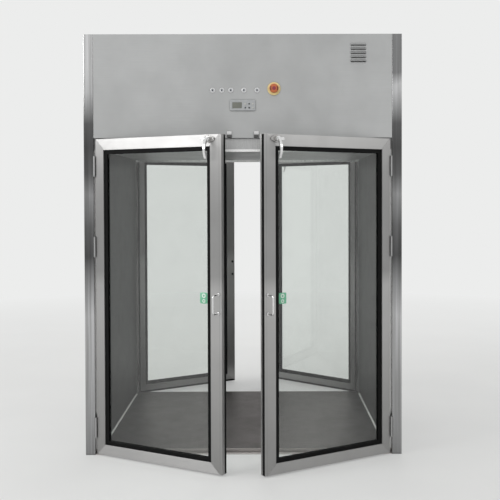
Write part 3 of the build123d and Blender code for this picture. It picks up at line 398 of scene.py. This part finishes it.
def lipped_stop(color, lip_highlight_color):
    """Brushed stop frame whose folded lip, below the head, carries a painted highlight: it is coloured near white.
    """
    shader = Shader("stop_steel")
    grain = straight_grain(shader, UPRIGHT)
    _, y, z = shader.separate()
    lip = shader.math("MULTIPLY", shader.math("LESS_THAN", z, STOP_LIP_TOP),
                      shader.math("GREATER_THAN", z, STOP_LIP_BOTTOM))
    outer = shader.math("GREATER_THAN", shader.math("ABSOLUTE", y), STOP_LIP_BACK)
    lip = shader.math("MULTIPLY", lip, outer)
    tone = shader.mix(shader.span(grain, 0.3, 0.7), shade(color, 0.92), shade(color, 1.08))
    # painted highlight: the lip is coloured near white
    tone = shader.mix(lip, tone, lip_highlight_color)
    gloss = shader.span(grain, 0.25, 0.75, 0.22, 0.36)
    shader.fixed(Metallic=1.0)
    return shader.use(tone, gloss, shader.bump(grain, 0.12, BRUSH_DEPTH, shader.soft_edges()))


def chrome_finish(shader, color, gloss_range, painted_shade_mask=None):
    """Plated steel with faint smears. The last argument is a mask of places painted dark, as shade."""
    smear = shader.noise(60, detail=5, roughness=0.65)
    tone = shader.mix(shader.span(smear, 0.4, 0.7), color, shade(color, 0.88))
    if painted_shade_mask is not None:
        tone = shader.mix(painted_shade_mask, tone, shade(color, 0.14))
    gloss = shader.span(smear, 0.35, 0.7, *gloss_range)
    shader.fixed(Metallic=1.0)
    return shader.use(tone, gloss, shader.soft_edges(0.0006))


def chrome(name, color, gloss_range=(0.07, 0.22)):
    return chrome_finish(Shader(name), color, gloss_range)


def keeper_chrome(color):
    """Chrome of the keepers, painted dark towards the bottom as shade under the hooks where the latches go in."""
    shader = Shader("keeper_chrome")
    low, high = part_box("latch_keepers")
    height = shader.span(shader.separate()[2], low.z, high.z)
    # painted shade: darker towards the bottom of the keepers
    return chrome_finish(shader, color, (0.10, 0.24), shader.span(height, 0.40, 0.60, 1.0, 0.0))


def rubber(name, color, roughness):
    """Matt rubber with a little dust."""
    shader = Shader(name)
    dust_and_shade = shader.noise(14, detail=6, roughness=0.7)
    pores = shader.noise(1400, detail=2)
    tone = shader.mix(shader.span(dust_and_shade, 0.5, 0.8, 0, 0.5), color, shade(color, 1.8))
    gloss = shader.span(dust_and_shade, 0.4, 0.7, roughness, roughness + 0.2)
    shader.fixed(Specular_IOR_Level=0.12)
    return shader.use(tone, gloss, shader.bump(pores, 0.15, 0.0002, shader.soft_edges(0.001)))


def moulded_plastic(name, color, roughness, texture_scale, texture_strength):
    """Plastic with a moulded texture, rubbed edges and handling marks."""
    shader = Shader(name)
    marks = shader.noise(90, detail=5, roughness=0.7)
    spark = shader.noise(texture_scale, detail=2)
    tone = shader.mix(shader.span(marks, 0.35, 0.75), shade(color, 1.04), shade(color, 0.86))
    tone = shader.mix(shader.math("MULTIPLY", shader.edge_mask(0.0008), 0.4), tone,
                      shade(color, 1.5))
    gloss = shader.span(marks, 0.3, 0.7, roughness, roughness + 0.15)
    normal = shader.bump(spark, texture_strength, 0.0002, shader.soft_edges(0.0006))
    return shader.use(tone, gloss, normal)


def powder_coat(name, color):
    """Sprayed paint with orange peel and faint dust."""
    shader = Shader(name)
    peel = shader.noise(420, detail=2)
    dust_and_shade = shader.noise(5, detail=5, roughness=0.65)
    tone = shader.mix(shader.span(dust_and_shade, 0.45, 0.75, 0, 0.5), color, shade(color, 0.85))
    gloss = shader.span(dust_and_shade, 0.4, 0.7, 0.38, 0.55)
    return shader.use(tone, gloss, shader.bump(peel, 0.2, 0.0003, shader.soft_edges(0.001)))


def galvanised(name, color):
    """Zinc spangle: flat crystals of slightly different tone and gloss."""
    shader = Shader(name)
    crystals = shader.node("ShaderNodeTexVoronoi")
    crystals.inputs["Scale"].default_value = 90
    shader.link(shader.coords, crystals.inputs["Vector"])
    cell = shader.separate(crystals.outputs["Color"])[0]
    tone = shader.mix(cell, shade(color, 0.85), shade(color, 1.15))
    gloss = shader.span(cell, 0, 1, 0.32, 0.5)
    shader.fixed(Metallic=1.0)
    return shader.use(tone, gloss, shader.soft_edges(0.001))


def filter_paper(name, color):
    """Pleated fibre paper, slightly sooted."""
    shader = Shader(name)
    fibre = shader.noise(900, shader.stretched((1, 0.2, 1)), detail=6, roughness=0.8)
    soot = shader.noise(6, detail=4)
    tone = shader.mix(shader.span(soot, 0.4, 0.8, 0, 0.5), color, shade(color, 0.8))
    shader.fixed(Roughness=0.95)
    return shader.use(tone, None, shader.bump(fibre, 0.4, 0.0005))


FLOOR_TINT = (0.4, 0.4, 0.4, 1.0)    # dulls the floor's reflections at a glancing angle
EDGE_HIGHLIGHT_GAIN = 3.2              # how much lighter the pan's front and rear faces are painted, a painted highlight


def scuffed_floor(color):
    """Satin floor sheet with wheel scuffs running through the chamber and a dusty film.

    The faces at the front and rear edges are painted lighter, as a painted highlight.
    """
    shader = Shader("scuffed_floor")
    grain = shader.noise(1.0, shader.stretched(FORE_AND_AFT), detail=4, roughness=0.7)
    scuffs = shader.noise(1.0, shader.stretched((38, 1.4, 38)), detail=6, roughness=0.75)
    dust_and_shade = shader.noise(3, detail=6, roughness=0.7)
    tone = shader.mix(shader.span(grain, 0.3, 0.7), shade(color, 0.94), shade(color, 1.06))
    tone = shader.mix(shader.span(scuffs, 0.56, 0.72, 0, 0.5), tone, shade(color, 1.5))
    tone = shader.mix(shader.span(dust_and_shade, 0.4, 0.75, 0, 0.6), tone, shade(color, 0.72))
    front = shader.math("GREATER_THAN", shader.math("ABSOLUTE", shader.separate()[1]), PAN_EDGE)
    # painted highlight on the pan's front and rear faces
    tone = shader.mix(front, tone, shade(color, EDGE_HIGHLIGHT_GAIN))
    gloss = shader.span(dust_and_shade, 0.35, 0.7, 0.30, 0.48)
    shader.fixed(Metallic=1.0, Specular_Tint=FLOOR_TINT)
    return shader.use(tone, gloss, shader.bump(grain, 0.1, BRUSH_DEPTH))


def clear_glass(name, tint):
    """Toughened pane with a faint film of dust. Shadows pass through it."""
    shader = Shader(name)
    film = shader.noise(7, detail=6, roughness=0.7)
    tone = shader.mix(shader.span(film, 0.4, 0.8, 0, 0.5), tint, shade(tint, 0.93))
    gloss = shader.span(film, 0.45, 0.75, 0.0, 0.05)
    shader.fixed(Transmission_Weight=1.0, IOR=1.5)
    shader.use(tone, gloss)
    clear = shader.node("ShaderNodeBsdfTransparent")
    clear.inputs["Color"].default_value = (*shade(tint, 0.97), 1)
    choice = shader.node("ShaderNodeMixShader")
    shader.link(shader.node("ShaderNodeLightPath").outputs["Is Shadow Ray"], choice.inputs[0])
    shader.link(shader.surface.outputs[0], choice.inputs[1])
    shader.link(clear.outputs[0], choice.inputs[2])
    shader.link(choice.outputs[0], shader.tree.nodes["Material Output"].inputs["Surface"])
    return shader.material


def display_film(name, color):
    """Unlit liquid crystal behind a glossy film, with its fine dot grid."""
    shader = Shader(name)
    grid = shader.node("ShaderNodeTexBrick", offset=0.0)
    for key, value in (("Scale", 420), ("Mortar Size", 0.06), ("Brick Width", 0.5),
                       ("Row Height", 0.5)):
        grid.inputs[key].default_value = value
    x, _, z = shader.separate()
    flat = shader.node("ShaderNodeCombineXYZ")
    shader.link(x, flat.inputs[0])
    shader.link(z, flat.inputs[1])
    shader.link(flat.outputs[0], grid.inputs["Vector"])
    tone = shader.mix(grid.outputs["Fac"], color, shade(color, 0.8))
    film = shader.noise(200, detail=3)
    shader.fixed(Coat_Weight=0.8, Coat_Roughness=0.05)
    return shader.use(tone, shader.span(film, 0.3, 0.7, 0.25, 0.4))


# ---------------------------------------------------------------- finishes of the CAD nodes
FINISHES = {
    "post_stainless": polished_post(),
    "panel_stainless": brushed_steel("panel_steel", (0.50, 0.505, 0.505), 0.34, UPRIGHT),
    "header_stainless": louvred_steel((0.55, 0.555, 0.555)),
    "liner_stainless": brushed_steel("liner_steel", (0.17, 0.172, 0.170), 0.34, UPRIGHT, 0.5,
                                     (0.35, 0.35, 0.35, 1.0)),
    # the second colour is a painted highlight on the stop's lip
    "stop_stainless": lipped_stop((0.50, 0.50, 0.50), (0.97, 0.97, 0.96)),
    "floor_stainless": scuffed_floor((0.170, 0.161, 0.158)),
    "clear_glass": clear_glass("pane_glass", (0.88, 0.90, 0.885)),
    "gasket_rubber": rubber("gasket_rubber", (0.005, 0.005, 0.005), 0.6),
    "seal_rubber": rubber("seal_rubber", (0.007, 0.007, 0.007), 0.7),
    "hinge_steel": brushed_steel("hinge_steel", (0.42, 0.42, 0.42), 0.3, UPRIGHT, 0.8),
    "polished_chrome": chrome("polished_chrome", (0.80, 0.80, 0.80)),
    "ceiling_white": powder_coat("ceiling_white", (0.45, 0.46, 0.45)),
    "galvanised_sheet": galvanised("galvanised_sheet", (0.45, 0.47, 0.48)),
    "filter_media": filter_paper("filter_media", (0.80, 0.80, 0.77)),
    "motor_grey": powder_coat("motor_grey", (0.10, 0.11, 0.13)),
    "controller_case": moulded_plastic("controller_case", (0.48, 0.49, 0.50), 0.42, 1500, 0.25),
    "estop_yellow": moulded_plastic("estop_yellow", (0.93, 0.76, 0.36), 0.3, 900, 0.05),
    "estop_red": moulded_plastic("estop_red", (0.60, 0.16, 0.055), 0.28, 900, 0.05),
    "button_cap": brushed_steel("button_steel", (0.62, 0.63, 0.65), 0.24, LEVEL, 0.4),
}

# nodes whose finish differs from their slot's
NODE_FINISHES = {f"{leaf.name}_latch_base": chrome(f"{leaf.name}_base_chrome", (0.48, 0.47, 0.46))
                 for leaf in LEAVES}
NODE_FINISHES.update({f"{leaf.name}_door_frame": leaf_steel(leaf, (0.55, 0.545, 0.54))
                      for leaf in LEAVES})
NODE_FINISHES["latch_keepers"] = keeper_chrome((0.80, 0.80, 0.80))
NODE_SLOTS = {part["node"]: part["material_slot"] for part in frame["record"]["subparts"]}

for node_name, cad_node in frame["nodes"].items():
    finish = NODE_FINISHES.get(node_name) or FINISHES[NODE_SLOTS[node_name]]
    cad_node.data.materials.clear()
    cad_node.data.materials.append(finish)


# ---------------------------------------------------------------- mesh helpers
SMOOTH_ANGLE = radians(35)   # edges sharper than this stay sharp
CORNER_STEPS = 5


def make_piece(name, mesh_data, matrix, body, material):
    """Turn a bmesh, built in its own frame, into a piece that rides on a body."""
    mesh = bpy.data.meshes.new(name)
    mesh_data.to_mesh(mesh)
    mesh_data.free()
    mesh.transform(matrix)
    mesh.materials.append(material)
    mesh.shade_smooth()
    mesh.set_sharp_from_angle(angle=SMOOTH_ANGLE)
    piece = bpy.data.objects.new(name, mesh)
    bpy.context.scene.collection.objects.link(piece)
    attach(piece, body)


def add_lathe(mesh_data, profile, centre=(0, 0), turns=24):
    """Revolve (radius, height) points about Z at a centre. The ends close to the axis."""
    rings = []
    for radius, height in profile:
        if radius == 0:
            rings.append([mesh_data.verts.new((centre[0], centre[1], height))])
            continue
        ring = []
        for step in range(turns):
            angle = 2 * pi * step / turns
            x = centre[0] + radius * cos(angle)
            y = centre[1] + radius * sin(angle)
            ring.append(mesh_data.verts.new((x, y, height)))
        rings.append(ring)
    for lower, upper in zip(rings, rings[1:]):
        for step in range(turns):
            after = (step + 1) % turns
            corners = [lower[step % len(lower)], lower[after % len(lower)],
                       upper[after % len(upper)], upper[step % len(upper)]]
            unique = list(dict.fromkeys(corners))
            if len(unique) > 2:
                mesh_data.faces.new(unique)


def add_rounded_plate(mesh_data, size, corner, top, edge):
    """Plate on the ground plane with rounded corners and a softened upper edge."""
    levels = ((0, 0), (0, top - edge), (edge * 0.35, top - edge * 0.35), (edge, top))
    rings = []
    for inset, height in levels:
        radius = corner - inset if corner > inset else corner * 0.2
        half_x, half_y = size[0] / 2 - inset - radius, size[1] / 2 - inset - radius
        ring = []
        for quarter, (sx, sy) in enumerate(((1, 1), (-1, 1), (-1, -1), (1, -1))):
            for step in range(CORNER_STEPS + 1):
                angle = pi / 2 * (quarter + step / CORNER_STEPS)
                x = sx * half_x + radius * cos(angle)
                y = sy * half_y + radius * sin(angle)
                ring.append(mesh_data.verts.new((x, y, height)))
        rings.append(ring)
    count = len(rings[0])
    for lower, upper in zip(rings, rings[1:]):
        for step in range(count):
            after = (step + 1) % count
            mesh_data.faces.new((lower[step], lower[after], upper[after], upper[step]))
    mesh_data.faces.new(rings[-1])
    mesh_data.faces.new(list(reversed(rings[0])))


def add_socket_screw(mesh_data, centre, radius, height):
    """Domed head with a hexagon socket."""
    socket = radius * 0.42
    profile = ((radius, 0), (radius, height * 0.45), (radius * 0.9, height * 0.8),
               (radius * 0.68, height), (socket * 1.1, height), (socket, height * 0.92))
    add_lathe(mesh_data, profile, centre, turns=18)
    add_lathe(mesh_data, ((socket, height * 0.92), (socket * 0.94, height * 0.25),
                          (0, height * 0.2)), centre, turns=6)


# ---------------------------------------------------------------- materials of added pieces
screw_steel = chrome("screw_steel", (0.55, 0.55, 0.55), (0.17, 0.32))
dark_screw = moulded_plastic("blackened_screw", (0.012, 0.012, 0.013), 0.35, 900, 0.1)
lamp_lens = moulded_plastic("dark_lamp_lens", (0.035, 0.04, 0.05), 0.15, 900, 0.03)
key_dark = moulded_plastic("dark_key", (0.05, 0.06, 0.06), 0.35, 1400, 0.1)
key_light = moulded_plastic("light_key", (0.62, 0.62, 0.58), 0.35, 1400, 0.1)
display_face = display_film("display_face", (0.19, 0.195, 0.165))
sticker_green = moulded_plastic("green_sticker", (0.17, 0.50, 0.31), 0.4, 500, 0.06)
sticker_white = moulded_plastic("white_sticker", (0.78, 0.84, 0.79), 0.4, 500, 0.06)
sealant = moulded_plastic("sealant", (0.80, 0.80, 0.78), 0.35, 300, 0.1)
stop_dark_pad = moulded_plastic("estop_dark_pad", (0.17, 0.045, 0.02), 0.4, 900, 0.05)
stop_plum = moulded_plastic("estop_plum", (0.30, 0.040, 0.065), 0.3, 900, 0.05)

# ---------------------------------------------------------------- fastenings on the leaves
LATCH_REACH = 0.6785
LATCH_HEIGHT = 1.573
LATCH_PLATE = 0.005
LATCH_SCREWS = 0.0245        # hub to each fixing screw
HUB_TOP = 0.0223             # top of the lever's hub above the leaf
HANDLE_REACH = 0.727
HANDLE_MIDDLE = 0.806
HANDLE_BOLTS = 0.044         # middle of the handle to each bolt
EAR_HEAD = (0.0036, 0.0024)  # radius and height of each kind of screw head
HUB_HEAD = (0.0055, 0.0028)
BOLT_HEAD = (0.0075, 0.0040)


def dress_latch(leaf):
    """Screws through the latch's ears and the centre screw on its hub."""
    plate = bmesh.new()
    for side in (-1, 1):
        add_socket_screw(plate, (side * LATCH_SCREWS, 0), *EAR_HEAD)
    make_piece(f"{leaf.name}_latch_screws", plate,
               leaf.place(LATCH_REACH, LATCH_HEIGHT, LATCH_PLATE), leaf.body,
               screw_steel)
    hub = bmesh.new()
    add_socket_screw(hub, (0, 0), *HUB_HEAD)
    make_piece(f"{leaf.name}_hub_screw", hub, leaf.place(LATCH_REACH, LATCH_HEIGHT, HUB_TOP),
               f"{leaf.name}_latch", screw_steel)


def dress_handle(leaf):
    """The two handle bolts, seen as dark heads on the inside of the free stile."""
    heads = bmesh.new()
    for side in (-1, 1):
        add_socket_screw(heads, (0, side * HANDLE_BOLTS), *BOLT_HEAD)
    make_piece(f"{leaf.name}_handle_bolts", heads,
               leaf.place_behind(HANDLE_REACH, HANDLE_MIDDLE), leaf.body,
               dark_screw)


for leaf in LEAVES:
    dress_latch(leaf)
    dress_handle(leaf)

# ---------------------------------------------------------------- sealant along the floor
BEAD = 0.007                 # width and height of the fillet
BEAD_HALF = 0.595            # half its length
BEAD_STEPS = 6
LINER_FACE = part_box("right_liner")[0].x
CHAMBER_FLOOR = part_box("base_pan")[1].z


def add_bead(mesh_data, side):
    """Concave fillet in the corner between a liner and the chamber floor."""
    profile = [(0, 0)]
    for step in range(BEAD_STEPS + 1):
        angle = pi / 2 * step / BEAD_STEPS
        profile.append((BEAD * (1 - sin(angle)), BEAD * (1 - cos(angle))))
    ends = []
    for y in (-BEAD_HALF, BEAD_HALF):
        ends.append([mesh_data.verts.new((side * (LINER_FACE - inward), y, CHAMBER_FLOOR + rise))
                     for inward, rise in profile])
    for index in range(len(profile)):
        after = (index + 1) % len(profile)
        mesh_data.faces.new((ends[0][index], ends[0][after], ends[1][after], ends[1][index]))
    for end in ends:
        mesh_data.faces.new(end)
    bmesh.ops.recalc_face_normals(mesh_data, faces=mesh_data.faces)


beads = bmesh.new()
for side in (-1, 1):
    add_bead(beads, side)
make_piece("floor_sealant", beads, Matrix.Identity(4), "cabinet", sealant)

# ---------------------------------------------------------------- stickers on the front panes
STICKER = (0.041, 0.052)
STICKER_CORNER = 0.006
STICKER_HEIGHT = 0.828
STICKER_REACH = 0.637
STICKER_THICKNESS = 0.0003
STICKER_DISCS = ((0.0110, 0.0105), (-0.0135, 0.0085))    # height and radius of each


def dress_glass(leaf):
    """Green sticker with two pale rings, without wording, on a pane."""
    place = leaf.place(STICKER_REACH, STICKER_HEIGHT, -GLASS_DEPTH)
    ground = bmesh.new()
    add_rounded_plate(ground, STICKER, STICKER_CORNER, STICKER_THICKNESS,
                      STICKER_THICKNESS * 0.4)
    make_piece(f"{leaf.name}_sticker", ground, place, leaf.body, sticker_green)
    discs = bmesh.new()
    top = STICKER_THICKNESS
    for height, radius in STICKER_DISCS:
        add_lathe(discs, ((radius, top), (radius * 0.97, top * 1.5), (radius * 0.55, top * 1.5),
                          (radius * 0.5, top)), (0, height))
    make_piece(f"{leaf.name}_sticker_discs", discs, place, leaf.body,
               sticker_white)


for leaf in LEAVES:
    if leaf.name.startswith("front"):
        dress_glass(leaf)

# ---------------------------------------------------------------- controls
PUSH_BUTTONS = 5
BUTTON_FACE = 0.0045         # caps above the panel
LENS_RADIUS = 0.0035
CONTROLLER_PROUD = 0.007
DISPLAY = (0.0475, 0.0300)
DISPLAY_CORNER = 0.002
DISPLAY_THICKNESS = 0.0006
DISPLAY_RECESS = 0.0015
DISPLAY_X = -0.028           # places are from the controller's middle
KEY_XS = (0.013, 0.032, 0.051)
KEY_ROWS = (0.007, -0.012)
KEY_RADIUS = 0.0041
KEY_RISE = 0.001             # the CAD keys stand this far out of the case
LIGHT_KEYS = ((0, 0), (0, 2), (1, 2))
STOP_FLAT_RADIUS = 0.0150    # the stop's crown is flat to here, then falls straight
STOP_SHOULDER_RADIUS = 0.0213
STOP_SHOULDER_DROP = 0.0017
STOP_CENTRE = ((0.0095, 0), (0.0090, 0.0006), (0.0060, 0.0010), (0, 0.0011))
DARK_PAD_RADII = (0.0150, 0.0208)
DARK_PAD_HALF_ANGLE = 32
DARK_PAD_STEPS = 8
DARK_PAD_HALF_THICKNESS = 0.0002


def dress_buttons():
    """Dark lamp, with a raised rim, in the middle of each push button."""
    for number in range(1, PUSH_BUTTONS + 1):
        name = f"push_button_{number}"
        low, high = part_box(name)
        lens = bmesh.new()
        add_lathe(lens, ((LENS_RADIUS * 1.25, 0), (LENS_RADIUS * 1.2, 0.0004),
                         (LENS_RADIUS, 0.0003), (LENS_RADIUS * 0.7, 0.0008), (0, 0.0010)))
        make_piece(f"{name}_lamp", lens,
                   front_place((low.x + high.x) / 2, (low.z + high.z) / 2, BUTTON_FACE), name,
                   lamp_lens)


def dress_controller():
    """Display film in its window, and the caps on the six keys."""
    low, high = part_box("controller")
    x, height = (low.x + high.x) / 2, (low.z + high.z) / 2
    film = bmesh.new()
    add_rounded_plate(film, DISPLAY, DISPLAY_CORNER, DISPLAY_THICKNESS, DISPLAY_THICKNESS / 2)
    make_piece("controller_display", film,
               front_place(x + DISPLAY_X, height, CONTROLLER_PROUD - DISPLAY_RECESS), "cabinet",
               display_face)
    for row, rise in enumerate(KEY_ROWS):
        for column, offset in enumerate(KEY_XS):
            cap = bmesh.new()
            add_lathe(cap, ((KEY_RADIUS, 0), (KEY_RADIUS * 0.95, 0.0006),
                            (KEY_RADIUS * 0.7, 0.0010), (0, 0.0011)))
            light = (row, column) in LIGHT_KEYS
            make_piece(f"controller_key_{row + 1}_{column + 1}", cap,
                       front_place(x + offset, height + rise, CONTROLLER_PROUD + KEY_RISE),
                       "cabinet", key_light if light else key_dark)


def add_dark_pad(mesh_data, side):
    """Thin pad on the sloping shoulder of the stop's crown. side is the angle it faces."""
    fall = STOP_SHOULDER_DROP / (STOP_SHOULDER_RADIUS - STOP_FLAT_RADIUS)
    inner, outer = DARK_PAD_RADII
    below, above = -DARK_PAD_HALF_THICKNESS, DARK_PAD_HALF_THICKNESS
    sections = []
    for step in range(DARK_PAD_STEPS + 1):
        angle = side + radians(DARK_PAD_HALF_ANGLE * (2 * step / DARK_PAD_STEPS - 1))
        section = []
        for radius, lift in ((inner, below), (outer, below), (outer, above), (inner, above)):
            height = lift - fall * (radius - STOP_FLAT_RADIUS)
            section.append(mesh_data.verts.new((radius * cos(angle), radius * sin(angle), height)))
        sections.append(section)
    for lower, upper in zip(sections, sections[1:]):
        for index in range(4):
            after = (index + 1) % 4
            mesh_data.faces.new((lower[index], lower[after], upper[after], upper[index]))
    mesh_data.faces.new(list(reversed(sections[0])))
    mesh_data.faces.new(sections[-1])


def dress_stop():
    """Two dark pads on the shoulder and a plum-red centre cap on the emergency stop's crown."""
    low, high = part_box("estop_head")
    place = front_place((low.x + high.x) / 2, (low.z + high.z) / 2, FRONT_Y - low.y)
    dark_pads = bmesh.new()
    for side in (0, pi):
        add_dark_pad(dark_pads, side)
    bmesh.ops.recalc_face_normals(dark_pads, faces=dark_pads.faces)
    make_piece("estop_dark_pads", dark_pads, place, "estop_head", stop_dark_pad)
    cap = bmesh.new()
    add_lathe(cap, STOP_CENTRE)
    make_piece("estop_centre", cap, place, "estop_head", stop_plum)


dress_buttons()
dress_controller()
dress_stop()

# ---------------------------------------------------------------- camera
IMAGE_PX = 500
SENSOR_WIDTH = 36            # mm
FOCAL_PX = 880.219
PRINCIPAL_PX = (265.835, 215.977)
CAMERA = Vector((0.09515, -5.13118, 1.30060))
YAW, PITCH, ROLL = radians(-0.249), radians(-1.207), radians(-0.159)


def make_camera():
    """Camera fitted to the photograph, with its picture centre moved by the lens shift."""
    forward = Vector((-sin(YAW) * cos(PITCH), cos(YAW) * cos(PITCH), sin(PITCH)))
    level = Vector((cos(YAW), sin(YAW), 0))
    up = level.cross(forward)
    right = level * cos(ROLL) + up * sin(ROLL)
    top = up * cos(ROLL) - level * sin(ROLL)
    camera = bpy.data.objects.new("camera", bpy.data.cameras.new("camera"))
    bpy.context.scene.collection.objects.link(camera)
    camera.matrix_world = basis(CAMERA, right, top, -forward)
    camera.data.sensor_width = SENSOR_WIDTH
    camera.data.lens = FOCAL_PX / IMAGE_PX * SENSOR_WIDTH
    camera.data.shift_x = (IMAGE_PX / 2 - PRINCIPAL_PX[0]) / IMAGE_PX
    camera.data.shift_y = (PRINCIPAL_PX[1] - IMAGE_PX / 2) / IMAGE_PX
    bpy.context.scene.camera = camera


# ---------------------------------------------------------------- floor, world and lamps
FLOOR_HALF = 40
FLOOR_COLOR = (0.76, 0.76, 0.75)
BACKDROP_COLOR = (0.84, 0.845, 0.84)
SWEEP = (2.5, 7.0)           # metres from the middle, where the floor turns into the backdrop
FLOOR_LIFT = 0.35            # share of the backdrop's colour in the near floor
WORLD_STRENGTH = 0.85        # light of the world on the object; it shows at a strength of 1
LAMPS = (                    # name, place, aim, size, watts
    ("key", (-4.4, -3.0, 3.1), (0, -0.6, 1.2), (2.6, 2.0), 100),
    ("fill", (4.6, -3.0, 3.4), (0, -0.6, 1.0), (2.0, 1.6), 12),
    ("back", (0.5, 5.0, 3.8), (0, 0, 1.2), (3.0, 2.0), 50),
)


def seen_directly(tree):
    """One for rays from the camera, a mirror or a pane, and nought for light."""
    path = tree.nodes.new("ShaderNodeLightPath")
    seen = path.outputs["Is Camera Ray"]
    for ray in ("Is Glossy Ray", "Is Transmission Ray"):
        either = tree.nodes.new("ShaderNodeMath")
        either.operation = "MAXIMUM"
        tree.links.new(seen, either.inputs[0])
        tree.links.new(path.outputs[ray], either.inputs[1])
        seen = either.outputs[0]
    return seen


def make_floor():
    """Pale floor that turns into the backdrop's colour further out."""
    floor = bmesh.new()
    bmesh.ops.create_grid(floor, x_segments=1, y_segments=1, size=FLOOR_HALF)
    mesh = bpy.data.meshes.new("floor")
    floor.to_mesh(mesh)
    floor.free()
    shader = Shader("studio_floor")
    haze = shader.noise(0.8, detail=3)
    tone = shader.mix(shader.span(haze, 0.4, 0.6), FLOOR_COLOR, shade(FLOOR_COLOR, 0.96))
    shader.fixed(Roughness=0.75)
    shader.use(tone)
    far = shader.node("ShaderNodeVectorMath", operation="LENGTH")
    shader.link(shader.coords, far.inputs[0])
    sweep = shader.span(far.outputs["Value"], SWEEP[0], SWEEP[1], FLOOR_LIFT, 1.0)
    backdrop = shader.node("ShaderNodeEmission")
    backdrop.inputs["Color"].default_value = (*BACKDROP_COLOR, 1)
    both = shader.node("ShaderNodeMixShader")
    shader.link(shader.math("MULTIPLY", sweep, seen_directly(shader.tree)), both.inputs[0])
    shader.link(shader.surface.outputs[0], both.inputs[1])
    shader.link(backdrop.outputs[0], both.inputs[2])
    shader.link(both.outputs[0], shader.tree.nodes["Material Output"].inputs["Surface"])
    mesh.materials.append(shader.material)
    piece = bpy.data.objects.new("floor", mesh)
    bpy.context.scene.collection.objects.link(piece)


def make_world():
    """Even studio light, with the backdrop's plain colour where it is seen directly."""
    world = bpy.data.worlds.new("studio")
    bpy.context.scene.world = world
    world.use_nodes = True
    tree = world.node_tree
    background = tree.nodes["Background"]
    background.inputs["Color"].default_value = (*BACKDROP_COLOR, 1)
    background.inputs["Strength"].default_value = WORLD_STRENGTH
    shown = tree.nodes.new("ShaderNodeBackground")
    shown.inputs["Color"].default_value = (*BACKDROP_COLOR, 1)
    shown.inputs["Strength"].default_value = 1.0
    choice = tree.nodes.new("ShaderNodeMixShader")
    tree.links.new(seen_directly(tree), choice.inputs[0])
    tree.links.new(background.outputs[0], choice.inputs[1])
    tree.links.new(shown.outputs[0], choice.inputs[2])
    tree.links.new(choice.outputs[0], tree.nodes["World Output"].inputs["Surface"])


def make_lamp(name, place, aim, size, watts):
    lamp = bpy.data.objects.new(name, bpy.data.lights.new(name, "AREA"))
    lamp.data.shape = "RECTANGLE"
    lamp.data.size, lamp.data.size_y = size
    lamp.data.energy = watts
    direction = Vector(aim) - Vector(place)
    lamp.matrix_world = (Matrix.Translation(place)
                         @ direction.to_track_quat("-Z", "Y").to_matrix().to_4x4())
    bpy.context.scene.collection.objects.link(lamp)


make_camera()
make_floor()
make_world()
for lamp_settings in LAMPS:
    make_lamp(*lamp_settings)
bpy.context.scene.view_settings.view_transform = "Standard"
